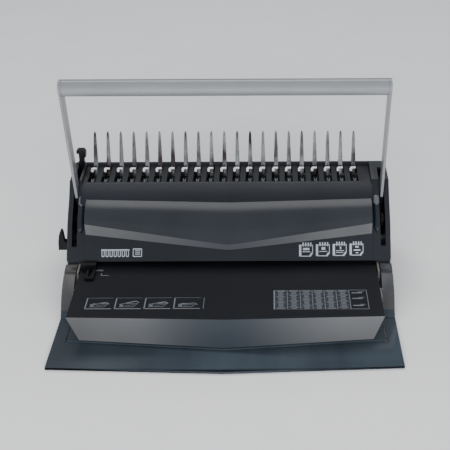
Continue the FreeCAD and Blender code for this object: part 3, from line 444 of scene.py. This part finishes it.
# %% The visor's sections
VISOR_HALF = 152.5
VISOR_END = [(34.0, 95.0), (23.0, 91.0), (15.0, 85.2), (10.9, 77.3), (panel_y(64.1), 64.1)]
VISOR_MIDDLE = [(32.0, 92.0), (17.5, 86.0), (5.5, 74.0), (-1.9, 59.1), (panel_y(50.2), 50.2)]
VISOR_WALL = 2.0
VISOR_COLUMNS = 64
CROWN_STEPS = 7
CHAMFER_STEPS = 3
POINT_EASE = 0.03                     # rounds the point of the V


def visor_section(share):
    """Section at a share of the way from the middle (0) to an end (1): the crown, then the chamfer."""
    corners = [Vector(m).lerp(Vector(e), share) for m, e in zip(VISOR_MIDDLE, VISOR_END)]
    crown = smooth_line(corners[:4], CROWN_STEPS)
    edge, foot = corners[3], corners[4]
    return crown + [edge.lerp(foot, k / CHAMFER_STEPS) for k in range(1, CHAMFER_STEPS + 1)]


def visor_shell():
    columns = VISOR_COLUMNS
    outer, inner = [], []
    for i in range(columns + 1):
        across = -1 + 2 * i / columns
        share = math.sqrt(across ** 2 + POINT_EASE ** 2) - POINT_EASE * (1 - abs(across)) * 0.9
        section = visor_section(min(1.0, max(0.0, share)))
        outer.append([(across * VISOR_HALF, p.x, p.y) for p in section])
        inner.append([(across * VISOR_HALF, p.x + VISOR_WALL, p.y - VISOR_WALL * 0.35) for p in section])
    rows = len(outer[0])
    points = [p for section in outer for p in section] + [p for section in inner for p in section]
    back = (columns + 1) * rows
    faces = []
    for i in range(columns):
        for j in range(rows - 1):
            a = i * rows + j
            faces.append((a, a + 1, a + rows + 1, a + rows))
            faces.append((back + a, back + a + rows, back + a + rows + 1, back + a + 1))
        for j in (0, rows - 1):
            a = i * rows + j
            faces.append((a, a + rows, back + a + rows, back + a))
    for i in (0, columns):
        for j in range(rows - 1):
            a = i * rows + j
            faces.append((a, a + 1, back + a + 1, back + a))
    piece = add_piece("visor_cover", points, faces, visor_paint, "body", angle=26.0)
    # the chamfer's faces take the lighter satin, a painted reflection of the desk
    piece.data.materials.append(chamfer_reflection_satin)
    chamfer_row = rows - 1 - CHAMFER_STEPS
    for face in piece.data.polygons:
        index = list(face.vertices)
        if all(v < back and v % rows >= chamfer_row for v in index):
            face.material_index = 1
    return piece


visor_cover = visor_shell()
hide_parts("visor")
print("visor:", len(visor_cover.data.vertices), "points")

# %% [markdown]
# ## Cheeks, front panel, deck and rear cover
# These mouldings are the crisp CAD shapes with soft edges. A copy of the CAD mesh is cleaned
# of the triangles across its flats first, because a bevel follows edges, and would otherwise
# find none to follow at a face that is cut into slivers.

# %% The casing
left_cheek_shell = soft_copy("left_cheek", "left_cheek_shell", 0.9, 3)
right_cheek_shell = soft_copy("right_cheek", "right_cheek_shell", 0.9, 3)
panel_shell = soft_copy("front_panel", "panel_shell", 0.35)
deck_shell = soft_copy("top_deck", "deck_shell", 0.4, finish=deck_grain)
rear_shell = soft_copy("rear_cover", "rear_shell", 0.8, 3)
for piece in (left_cheek_shell, right_cheek_shell, panel_shell, deck_shell, rear_shell):
    print(piece.name, len(piece.data.polygons), "faces")

# %% [markdown]
# Beside each end of the visor the cheek carries a rounded rib with a domed top. A tube swept
# along the cheek's slope, half sunk in it, gives the dome a natural highlight. The top of the
# dome is also painted lighter, a painted highlight in a satin finish.

# %% The cheek ribs
RIB_X = 158.2
RIB_RADIUS = 3.5
RIB_PROUD = 1.2                       # the rib's axis stands this far out of the cheek's slope
# the painted highlight on the dome's top starts at this height
RIB_HIGHLIGHT_Z = 90.0                      # the lighter top starts here
RIB_LINE = [(40.6, 92.0), (34.5, 87.0), (28.2, 81.6), (22.6, 76.5), (17.4, 70.5), (13.6, 64.8)]
SLOPE_OUT = Vector((-0.62, 0.78))
DOME_TURNS = (85, 70, 52, 34, 17)     # degrees
TAPER_RINGS = 4
TAPER = 0.16


def swept(name, path, radii, finish, body, sides=20):
    """A round bar along a path in a plane of constant X, thinner where its radii say so."""
    points = []
    for i, (x, y, z) in enumerate(path):
        before, after = Vector(path[max(0, i - 1)]), Vector(path[min(len(path) - 1, i + 1)])
        along = (after - before).normalized()
        across = Vector((1, 0, 0))
        out = along.cross(across).normalized()
        for k in range(sides):
            turn = 2 * math.pi * k / sides
            offset = across * math.cos(turn) * radii[i] + out * math.sin(turn) * radii[i]
            points.append((x + offset.x, y + offset.y, z + offset.z))
    return add_piece(name, points, tube_faces(len(path), sides), finish, body, angle=60.0)


def cheek_rib(side):
    line = [p + SLOPE_OUT * RIB_PROUD for p in smooth_line(RIB_LINE, 5)]
    back = (line[0] - line[1]).normalized()
    turns = [math.radians(degrees) for degrees in DOME_TURNS]
    dome = [line[0] + back * RIB_RADIUS * math.sin(t) for t in turns]
    path = [(side * RIB_X, p.x, p.y) for p in dome + line]
    tapered = [1.0 - TAPER * k for k in range(1, TAPER_RINGS + 1)]
    shares = [math.cos(t) for t in turns] + [1.0] * (len(line) - TAPER_RINGS) + tapered
    radii = [RIB_RADIUS * share for share in shares]
    piece = swept("left_rib" if side < 0 else "right_rib", path, radii, rib_gloss, "body")
    # the dome's upward faces take the lighter satin as a painted highlight
    piece.data.materials.append(highlight_satin)
    for face in piece.data.polygons:
        if face.center.z > RIB_HIGHLIGHT_Z * MM and face.normal.z > 0.25:
            face.material_index = 1
    return piece


for side in (-1, 1):
    print(cheek_rib(side).name, "made")

# %% [markdown]
# ## The paper table
# The table's top is dark and grained, while its front and sides narrow downward and have a
# lighter satin face, a painted reflection of the desk, darker towards the middle. One mesh with
# two finishes keeps the edge between them crisp.

# %% The table
table_shell = soft_copy("paper_table", "table_shell", 0.7, 3)
# the outer front and side faces take the painted reflection of the desk
table_shell.data.materials.append(table_front_reflection)
TABLE_TOP = 36.0
TABLE_FOOT = 4.2
OUTER_Y, OUTER_X = -90.0, 140.0       # faces past these are on the outside of the table
for face in table_shell.data.polygons:
    upright = face.normal.z < 0.85 and face.normal.y < 0.5
    outside = face.center.y < at(0, OUTER_Y, 0).y or abs(face.center.x - MID_X) > OUTER_X * MM
    if upright and outside and face.center.z > TABLE_FOOT * MM:
        face.material_index = 1
soft_copy("table_skirt", "skirt_shell", 0.3, finish=smoked)
print("table:", sum(f.material_index == 1 for f in table_shell.data.polygons), "satin faces")

# %% [markdown]
# ## Printed marks
# Marks are printed in thin ink. As geometry, each stroke is a flat bar that stands a
# twentieth of a millimetre proud, which any renderer shows and no texture needs. They are
# plain signs of the makers' kind: a comb's spine, note blocks, working steps and a size chart.

# %% Strokes of ink
INK_RISE = 0.05
INK_SINK = 0.15


def on_table(x, y, rise):
    return (x, y, TABLE_TOP + rise)


def on_panel(x, z, rise):
    return (x, panel_y(z) - rise * math.sin(PANEL_LEAN), z + rise * math.cos(PANEL_LEAN))


def ink_marks(name, strokes, surface, finish):
    """One piece from many strokes, each (x0, y0, x1, y1, width) on a surface."""
    points, faces = [], []
    for x0, y0, x1, y1, width in strokes:
        start, end = Vector((x0, y0)), Vector((x1, y1))
        side = (end - start).normalized().orthogonal() * width / 2
        corners = [start + side, end + side, end - side, start - side]
        base = len(points)
        points += [surface(c.x, c.y, -INK_SINK) for c in corners]
        points += [surface(c.x, c.y, INK_RISE) for c in corners]
        faces += [tuple(base + i for i in face) for face in
                  ((3, 2, 1, 0), (4, 5, 6, 7), (0, 1, 5, 4), (1, 2, 6, 5), (2, 3, 7, 6), (3, 0, 4, 7))]
    mesh = bpy.data.meshes.new(name)
    mesh.from_pydata([at(*p) for p in points], [], faces)
    mesh.materials.append(finish)
    piece = shown_in_scene(name, mesh)
    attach(piece, "body")
    return piece


def outline_strokes(corners, width):
    count = len(corners)
    return [(*corners[i], *corners[(i + 1) % count], width) for i in range(count)]


print("ink stands", INK_RISE, "mm proud")

# %% [markdown]
# The front panel carries a sign that says what the machine does, a comb beside a bound page,
# and four note blocks. Each is a short list of strokes, placed by its lower left corner.

# %% The comb sign and the note blocks on the front panel
def comb_sign(x, z):
    """A comb's spine with its rings, and the corner of a bound sheet."""
    strokes = [(x, z + 5.6, x + 30, z + 5.6, 1.3)]
    for i in range(7):
        left = x + 0.8 + i * 4.3
        strokes += outline_strokes([(left, z), (left + 2.4, z), (left + 2.4, z + 5.2), (left, z + 5.2)], 0.8)
    strokes += outline_strokes([(x + 34, z), (x + 43, z), (x + 43, z + 6.6), (x + 34, z + 6.6)], 0.8)
    strokes += [(x + 36, z + 2 + i * 1.7, x + 41.5, z + 2 + i * 1.7, 0.7) for i in range(3)]
    return strokes


def note_block(x, z, lines):
    """A small note block with rings on top, a shaded left edge and a turned corner."""
    wide, high, turn = 14.4, 10.4, 3.2
    strokes = [(x + 1.2, z, x + 1.2, z + high, 2.4)]
    strokes += [(x, z + 0.35, x + wide - turn, z + 0.35, 0.7), (x + wide, z + turn, x + wide, z + high, 0.7)]
    strokes += [(x + 2.4, z + high - 0.3, x + wide, z + high - 0.3, 0.6)]
    strokes += [(x + wide - turn, z + 0.2, x + wide - 0.4, z + turn, 1.7)]
    strokes += [(x + 4.4 + i * 2.7, z + high - 1.5, x + 4.4 + i * 2.7, z + high + 1.9, 1.3) for i in range(4)]
    strokes += [(x + x0, z + level, x + x1, z + level, width) for x0, x1, level, width in lines]
    return strokes


BLOCK_LINES = [
    [(4.2, 11.0, 6.6, 2.0), (3.6, 12.0, 4.2, 0.6)],
    [(6.0, 10.0, 6.8, 2.4), (3.6, 12.0, 4.2, 0.6)],
    [(7.6, 9.0, 7.0, 2.4), (3.6, 12.0, 4.6, 0.6), (3.6, 11.0, 3.0, 0.6)],
    [(6.0, 9.8, 7.6, 1.3), (4.4, 11.6, 4.8, 1.3), (6.4, 9.4, 2.4, 0.9)],
]
panel_marks = comb_sign(-135.6, 44.8)
for i, lines in enumerate(BLOCK_LINES):
    panel_marks += note_block(74.8 + i * 17.9, 44.0 + i * 0.25, lines)
ink_marks("panel_signs", panel_marks, on_panel, bright_ink)
print("panel signs:", len(panel_marks), "strokes")

# %% [markdown]
# The table carries four pictures of the working steps and a chart of comb sizes. The chart's
# figures are dashes: at this size they read as a printed table without saying anything.

# %% The working steps and the size chart on the table
def step_picture(x, tilt):
    """One working step: a frame, the machine's outline and its handle at an angle."""
    wide, low, high = 26.0, -90.0, -69.6
    strokes = [(x, low, x, high, 1.2), (x, low + 0.5, x + wide, low + 0.5, 1.2),
               (x, high, x + wide, high, 0.35)]
    sheet = [(x + 4, low + 4), (x + 18, low + 4), (x + 22, low + 10), (x + 7, low + 10)]
    strokes += outline_strokes(sheet, 0.6)
    strokes += [(x + 4, low + 8, x + 20, low + 8 + tilt, 1.6),
                (x + 20, low + 8 + tilt, x + 23, low + 5 + tilt, 1.2)]
    strokes += [(x + 5, low + 6, x + 8, low + 6, 2.0), (x + 10, low + 6.4, x + 19, low + 8, 0.5)]
    return strokes


def size_chart(x0, x1, y0, y1):
    """Columns of figures as short dashes: which comb takes how many sheets."""
    columns = [0.0, 0.14, 0.28, 0.41, 0.54, 0.67, 0.81, 1.0]
    xs = [x0 + (x1 - x0) * c for c in columns]
    strokes = [(x, y0, x, y1, 1.5 if i == 0 else 0.6) for i, x in enumerate(xs)]
    rows = 13
    for j in range(rows + 1):
        y = y0 + (y1 - y0) * j / rows
        strokes.append((x0, y, xs[-2], y, 0.35))
    strokes += [(xs[-2], y0, x1, y0, 0.6), (xs[-2], y1, x1, y1, 0.6)]
    for i in range(6):
        middle = (xs[i] + xs[i + 1]) / 2
        for j in range(rows - 1):
            y = y0 + (y1 - y0) * (j + 0.5) / rows
            reach = 2.6 if (i * 5 + j * 3) % 4 else 4.0
            strokes.append((middle - reach, y, middle + reach, y, 0.8))
        strokes.append((middle - 4.2, y1 - 1.3, middle + 4.2, y1 - 1.3, 1.1))
    for share in (0.18, 0.55, 0.85):
        y = y0 + (y1 - y0) * share
        strokes += [(xs[-2] + 2.5, y, xs[-2] + 13, y, 1.6), (xs[-2] + 9, y + 2.0, xs[-2] + 15, y + 2.0, 0.7)]
    return strokes


table_marks = []
for i, tilt in enumerate((4.0, 6.5, 5.0, 2.5)):
    table_marks += step_picture(-139.6 + i * 29.3, tilt)
table_marks += [(-22.4, -90.0, -22.4, -69.6, 0.6)]
table_marks += size_chart(48.0, 141.6, -91.6, -56.4)
# the corner mark beside the edge guide
table_marks += [(-132.8, -21.0, -132.8, -25.4, 0.9), (-132.8, -25.4, -125.0, -25.4, 0.9)]
ink_marks("table_signs", table_marks, on_table, ink)
print("table signs:", len(table_marks), "strokes")

# %% [markdown]
# ## The smoked lid
# The lid is a flat smoked sheet with a bowed front edge, and two arms that curve up to the
# hinge pins. The arms are outlines pushed sideways and merged with the sheet into one skin,
# because a clear material shows every wall that is left inside. The raised arms are painted greyer,
# since little but air is behind them: painted light for the bright background seen through them.

# %% The lid
LID_HALF = 172.75
EAR_WIDTH = 12.25
LID_LOW, LID_HIGH = 0.6, 3.1
LID_WALL = 2.5
ARM_FOOT_Y = -58.0                    # where the arms' flat feet end
PIN_Y, PIN_Z, HUB_RADIUS = -16.0, 31.0, 5.5
SIDE_BOW = 8.0                        # the front edge bows forward by this at the middle
OPENING_BOW = 14.5                    # and the table's opening by this
OPENING_HALF = 142.6
OPENING_GAP = 1.0
ARM_PAINTED_LIGHT_Z, ARM_PAINTED_LIGHT_X = 10.0, 150.0
EAR_LINE = [(-5.0, 37.6), (-15.0, 36.0), (-27.5, 31.4), (-38.0, 25.2), (-46.0, 17.5), (-51.5, 9.5),
            (-56.5, 3.1)]


def ear_outline():
    """The arm's curved top skin, with its lower side, in (Y, Z)."""
    line = smooth_line(EAR_LINE, 6)
    under = []
    for i, p in enumerate(line):
        ahead, behind = line[min(i + 1, len(line) - 1)], line[max(i - 1, 0)]
        along = (ahead - behind).normalized()
        under.append(p + Vector((-along.y, along.x)) * LID_WALL)
    tail = [Vector((-66.0, LID_HIGH)), Vector((-66.0, LID_LOW))]
    under = [p for p in under if p.y > LID_LOW + 0.3]
    toe = [(under[-1].x - 1.0, LID_LOW)]
    return [tuple(p) for p in line + tail] + toe + [tuple(p) for p in reversed(under)]


def ear_wall_outline():
    """The arm's outer wall, down to the desk line behind the curve."""
    line = smooth_line(EAR_LINE, 6)
    low = [(-66.0, LID_HIGH), (-66.0, LID_LOW), (-46.0, LID_LOW), (-40.0, 6.0), (-32.0, 14.0), (-18.0, 24.0),
           (-5.0, 28.0)]
    return [tuple(p) for p in line] + low


def lid_shell():
    front = (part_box("lid")[0][1] - MOUTH_Y) / MM           # the middle of the bowed front edge
    side_front = front + SIDE_BOW
    inner = LID_HALF - EAR_WIDTH
    opening = (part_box("table_skirt")[0][1] - MOUTH_Y) / MM - OPENING_GAP
    side_back = opening + OPENING_BOW
    right_half = [(LID_HALF, side_front), (LID_HALF, ARM_FOOT_Y), (inner, ARM_FOOT_Y), (inner, side_back),
                  (OPENING_HALF, side_back)]
    left_half = [(-x, y) for x, y in reversed(right_half)]
    sheet = [(0.0, front)] + right_half + [(0.0, opening)] + left_half
    hub = [(y, z) for _, y, z in ring_points(0.0, PIN_Y, PIN_Z, HUB_RADIUS, 32)]
    whole = pushed("lid_shell", sheet, "Z", LID_LOW, LID_HIGH, smoked, "lid_body")
    for side in (-1, 1):
        for outline, near, far in ((ear_outline(), inner, LID_HALF),
                                   (ear_wall_outline(), LID_HALF - LID_WALL, LID_HALF),
                                   (hub, inner, LID_HALF - 0.4)):
            low, high = sorted((side * near, side * far))
            merge(whole, pushed("skin", outline, "X", low, high, smoked))
    soften(whole, 0.5, 2, 45.0)
    shade(whole, 40.0)
    return whole


lid_piece = lid_shell()
# the raised arms take the greyer smoked colour, painted light for the background seen through them
lid_piece.data.materials.append(smoked_arm_painted_light)
for face in lid_piece.data.polygons:
    if face.center.z > ARM_PAINTED_LIGHT_Z * MM and abs(face.center.x - MID_X) > ARM_PAINTED_LIGHT_X * MM:
        face.material_index = 1
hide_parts("lid")
print("lid:", len(lid_piece.data.polygons), "faces")

# %% [markdown]
# ## The tines
# Each tine is stamped and then coined so that its front is crowned, which is what makes a
# chrome blade show a light edge, a dark middle and a light edge. The crown is drawn section
# by section from the strip under the deck to the point.

# %% The row of tines
TINE_COUNT = 21
TINE_PITCH = 14.2875                  # 9/16 inch
punch_low, punch_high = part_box("punch_pins")       # tines and punches share one row
TINE_MID_X = ((punch_low[0] + punch_high[0]) / 2 - MID_X) / MM
TINE_XS = [TINE_MID_X + (i - TINE_COUNT // 2) * TINE_PITCH for i in range(TINE_COUNT)]
TINE_FRONT_Y = (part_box("comb_tines")[0][1] - MOUTH_Y) / MM
TINE_LEAN = math.radians(17.0)
TINE_THICK = 1.8
TINE_TURN_Z = 100.0                   # the blades lean back from here
STRIP_REACH = 6.0                     # the strip goes on past the outer tines by this
FOOT_X = 157.0                        # its feet reach the side plates
# (height, half width) and (share of the half width, depth)
TINE_SECTIONS = [(-1.0, 2.6), (8.0, 2.6), (16.0, 2.4), (26.0, 2.08), (36.0, 1.72), (43.4, 1.45), (45.6, 1.25),
                 (47.2, 0.85), (48.2, 0.42), (48.8, 0.1)]
CROWN = [(-1.0, 0.5), (-0.86, 0.14), (-0.4, 0.0), (0.4, 0.0), (0.86, 0.14), (1.0, 0.5), (1.0, 1.8),
         (-1.0, 1.8)]


def tine(x):
    middle = TINE_THICK / 2
    points = []
    for height, half in TINE_SECTIONS:
        thin = 0.45 if half < 0.6 else 1.0
        for u, depth in CROWN:
            d = middle + (depth - middle) * thin
            y = TINE_FRONT_Y + d * math.cos(TINE_LEAN) + height * math.sin(TINE_LEAN)
            z = TINE_TURN_Z + height * math.cos(TINE_LEAN) - d * math.sin(TINE_LEAN)
            points.append((x + u * half, y, z))
    return add_piece("tine", points, tube_faces(len(TINE_SECTIONS), len(CROWN)), chrome, None, angle=50.0)


def strip_piece(x0, x1, z0, z1):
    return pushed("strip", [(x0, z0), (x1, z0), (x1, z1), (x0, z1)], "Y", TINE_FRONT_Y + 0.02,
                  TINE_FRONT_Y + TINE_THICK, chrome)


strip_left, strip_right = TINE_XS[0] - STRIP_REACH, TINE_XS[-1] + STRIP_REACH
tine_row = joined("tine_row", [tine(x) for x in TINE_XS]
                  + [strip_piece(strip_left, strip_right, 90.0, 101.0),
                     strip_piece(-FOOT_X, strip_left + 0.1, 90.0, 98.0),
                     strip_piece(strip_right - 0.1, FOOT_X, 90.0, 98.0)])
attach(tine_row, "body")
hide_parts("comb_tines")
print("tines:", len(TINE_XS), "front at", round(TINE_FRONT_Y, 2))

# %% [markdown]
# ## The hooks
# Beside each tine a hook reaches through the deck. Its top is a bright J, a painted highlight,
# while the plate below is darkened as painted shade. The J is an outline with its edges well
# rounded; it rides with the plate, so it slides forward when the comb is opened.

# %% The hook plate and its bright tops
# the hook plate in painted shade
soft_copy("hook_plate", "hook_row", 0.35, 2, finish=hook_plate_shade)
hook_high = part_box("hook_plate")[1]
HOOK_FRONT_Y = (hook_high[1] - MOUTH_Y) / MM - 3.4
HOOK_TOP_Z = hook_high[2] / MM
CAP_PROUD, CAP_DEPTH = 0.35, 2.3      # in front of the hook's face, and behind it
J_LINE = [(-4.4, -5.2), (-3.9, -5.5), (-2.2, -5.5), (-1.7, -5.0), (-1.7, -3.2), (-1.0, -2.1), (2.2, -2.1),
          (2.2, 0.0), (-2.6, 0.0), (-3.9, -0.9), (-4.4, -2.2)]


def hook_highlight(x):
    """The bright J of one hook: a knob at its left and an arc over to its right."""
    # the J is a painted highlight on the hook's top
    line = [(x + dx, HOOK_TOP_Z + dz) for dx, dz in J_LINE]
    cap = pushed("cap", line, "Y", HOOK_FRONT_Y - CAP_PROUD, HOOK_FRONT_Y + CAP_DEPTH, plating_and_highlight)
    soften(cap, 0.5, 3, 40.0)
    shade(cap, 50.0)
    return cap


hook_highlights = joined("hook_highlights", [hook_highlight(x) for x in TINE_XS])
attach(hook_highlights, "hooks")
print("hook tops:", len(TINE_XS), "front at", round(HOOK_FRONT_Y - CAP_PROUD, 2))

# %% [markdown]
# A fine bead runs across the deck in front of the slots. It stiffens the moulding, and its
# lighter satin is a painted highlight, a thin light line. At the front end of each slot two light
# edges meet in a small V, a painted reflection. They stay narrow, so that the hooks' necks pass beside them.

# %% The deck's bead and the slots' lips
BEAD_Y, BEAD_Z, BEAD_RADIUS, BEAD_SIDES = 54.4, 104.7, 0.45, 12
LIP_LINE = [(0.9, 65.5), (1.8, 65.5), (1.3, 57.9), (0.0, 57.9), (0.0, 59.6)]
LIP_LOW, LIP_HIGH = 103.9, 104.75
bead_points = [point for x in (strip_left, strip_right)
               for point in ring_points(x, BEAD_Y, BEAD_Z, BEAD_RADIUS, BEAD_SIDES)]
# the bead's lighter satin is a painted highlight
deck_bead = add_piece("deck_bead", bead_points, tube_faces(2, BEAD_SIDES), bead_highlight_satin, "body", angle=60.0)
# the light V at each slot's front is a painted reflection
slot_lip_highlights = joined("slot_lip_highlights", [pushed("lip", [(x + lean * dx, y) for dx, y in LIP_LINE[::-lean]], "Z",
                                        LIP_LOW, LIP_HIGH, highlight_satin)
                                 for x in TINE_XS for lean in (-1, 1)])
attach(slot_lip_highlights, "body")
print("slot lips:", len(TINE_XS))

# %% [markdown]
# ## The handle
# A satin silver tube joins two flat steel arms. Tube and screws are turned parts, so they are
# lathed: a profile of (x, radius) pairs spun round the grip's axis.

# %% Turned parts
def turned(name, profile, y, z, finish, body, sides):
    """A profile of (x, radius) pairs spun round a line along X."""
    points = [point for x, radius in profile for point in ring_points(x, y, z, radius, sides)]
    faces = tube_faces(len(profile), sides, closed=profile[0] != profile[-1])
    return add_piece(name, points, faces, finish, body, angle=35.0)


grip_low, grip_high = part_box("handle_tube")
GRIP_Y = ((grip_low[1] + grip_high[1]) / 2 - MOUTH_Y) / MM
GRIP_Z = (grip_low[2] + grip_high[2]) / 2 / MM
GRIP_HALF = 163.0
GRIP_RADIUS = 8.5
GRIP_BORE = 6.5
GRIP_EDGE = 0.4
tube_profile = [(-GRIP_HALF, GRIP_BORE), (-GRIP_HALF, GRIP_RADIUS - GRIP_EDGE),
                (-GRIP_HALF + GRIP_EDGE, GRIP_RADIUS), (GRIP_HALF - GRIP_EDGE, GRIP_RADIUS),
                (GRIP_HALF, GRIP_RADIUS - GRIP_EDGE), (GRIP_HALF, GRIP_BORE), (-GRIP_HALF, GRIP_BORE)]
handle_grip = turned("handle_grip", tube_profile, GRIP_Y, GRIP_Z, silver_paint, "handle", sides=64)
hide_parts("handle_tube")
print("grip axis at", round(GRIP_Y, 1), round(GRIP_Z, 1))

# %% [markdown]
# Each arm is a flat bar with rounded edges. Its hub end, inside the cheek's slot, is darkened as
# painted shade, where the slot shades it. One cut across the mesh gives the two finishes a straight border.

# %% The arms
# the painted shade on each arm's hub end reaches this far, in millimetres
ARM_SHADE_REACH = 37.0                       # from the pivot
pivot = Vector(next(joint["pos_m"] for joint in frame["joints"] if joint["name"] == "handle_swing"))
upward = (at(0, GRIP_Y, GRIP_Z) - pivot) * Vector((0, 1, 1))
upward.normalize()


def arm_bar(node, name):
    """An arm with its hub end darkened as painted shade up to where it leaves the cheek's slot."""
    piece = soft_copy(node, name, 0.5, 2)
    cut = bmesh.new()
    cut.from_mesh(piece.data)
    edge = pivot + upward * ARM_SHADE_REACH * MM
    bmesh.ops.bisect_plane(cut, geom=cut.verts[:] + cut.edges[:] + cut.faces[:], plane_co=edge,
                           plane_no=upward, dist=1e-7)
    # the hub end takes painted shade
    piece.data.materials.append(painted_shade)
    for face in cut.faces:
        if (face.calc_center_median() - edge).dot(upward) < 0:
            face.material_index = 1
    cut.to_mesh(piece.data)
    cut.free()
    return piece


left_arm_bar = arm_bar("left_arm", "left_arm_bar")
right_arm_bar = arm_bar("right_arm", "right_arm_bar")
print("arms:", len(left_arm_bar.data.polygons), "and", len(right_arm_bar.data.polygons), "faces")

# %% [markdown]
# A pan head screw holds each arm to the grip. It is turned too: shank, head and a small
# round recess in one profile.

# %% The grip's screws
HEAD_X = 166.0                        # the arms' outer faces
SCREW_PROFILE = [(-14.8, 2.5), (0.0, 2.5), (0.0, 4.2), (0.7, 4.3), (1.5, 3.5), (1.95, 1.6), (1.3, 1.2),
                 (1.3, 0.1)]


def grip_screw(side):
    profile = [(side * (HEAD_X + along), radius) for along, radius in SCREW_PROFILE]
    return turned("screw", profile, GRIP_Y, GRIP_Z, plating_and_highlight, None, sides=32)


screws = joined("grip_screw_pair", [grip_screw(-1), grip_screw(1)])
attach(screws, "handle")
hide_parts("grip_screws")
print("screws:", len(screws.data.polygons), "faces")

# %% [markdown]
# ## The small controls
# The comb stop, the margin lever, the edge guide and the chip drawer are black mouldings.
# They keep their CAD shapes with softened edges.

# %% Stop, lever, guide and drawer
stop_post = soft_copy("comb_stop", "stop_post", 0.6, 3)
lever_arm = soft_copy("margin_lever", "lever_arm", 0.6, 3)
guide_block = soft_copy("edge_guide", "guide_block", 0.5, 2)
drawer_tray = soft_copy("chip_drawer", "drawer_tray", 0.5, 2)
foot_pads = soft_copy("rubber_feet", "foot_pads", 0.5, 2)
for piece in (stop_post, lever_arm, guide_block, drawer_tray, foot_pads):
    print(piece.name, len(piece.data.polygons), "faces")

# %% [markdown]
# ## The stage
# A pale floor, one soft light behind and above, and one low in front that fills without a
# reflection of its own.

# %% Floor, lights and world
FLOOR_REACH = 6.0                     # metres


def make_floor():
    mesh = bpy.data.meshes.new("floor")
    corners = [(x * FLOOR_REACH, y * FLOOR_REACH, 0) for x, y in ((-1, -1), (1, -1), (1, 1), (-1, 1))]
    mesh.from_pydata(corners, [], [(0, 1, 2, 3)])
    floor = shown_in_scene("floor", mesh)
    mesh.materials.append(grained("pale floor", (0.90, 0.90, 0.90), 0.8, grain=60, bump=0.0, vary=0.01))


def soft_light(name, place, aim, size, power):
    light = bpy.data.lights.new(name, "AREA")
    light.shape = "RECTANGLE"
    light.size, light.size_y = size
    light.energy = power
    lamp = shown_in_scene(name, light)
    lamp.location = place
    lamp.rotation_euler = (Vector(aim) - Vector(place)).to_track_quat("-Z", "Y").to_euler()
    return lamp


make_floor()
soft_light("behind_above", (0.0, 1.1, 2.0), (0.0, 0.0, 0.1), (2.6, 0.8), 26)
front = soft_light("front_fill", (0.0, -2.2, 0.75), (0.0, 0.0, 0.1), (2.4, 0.8), 95)
front.visible_glossy = False
world = bpy.data.worlds.new("studio")
world.use_nodes = True
world.node_tree.nodes["Background"].inputs["Color"].default_value = (0.84, 0.88, 0.95, 1.0)
world.node_tree.nodes["Background"].inputs["Strength"].default_value = 0.42
bpy.context.scene.world = world
print("lights:", len(bpy.data.lights))

# %% [markdown]
# The camera looks down at 28 degrees through a long lens, so that the sides hardly converge.
# It stands a little to the right and its sensor is shifted, which keeps the machine centred.

# %% The camera
LOOK_DOWN = math.radians(28.0)
ROLL = math.radians(0.25)
lens = bpy.data.cameras.new("camera")
lens.sensor_width = 36.0
lens.lens = 80.0
lens.shift_x = -0.1
camera = shown_in_scene("camera", lens)
camera.location = at(44.0, -923.9, 572.7)
camera.rotation_mode = "QUATERNION"
look = Vector((0.0, math.cos(LOOK_DOWN), -math.sin(LOOK_DOWN)))
camera.rotation_quaternion = Quaternion(look, ROLL) @ look.to_track_quat("-Z", "Y")
bpy.context.scene.camera = camera
print("camera at", [round(value, 3) for value in camera.location])
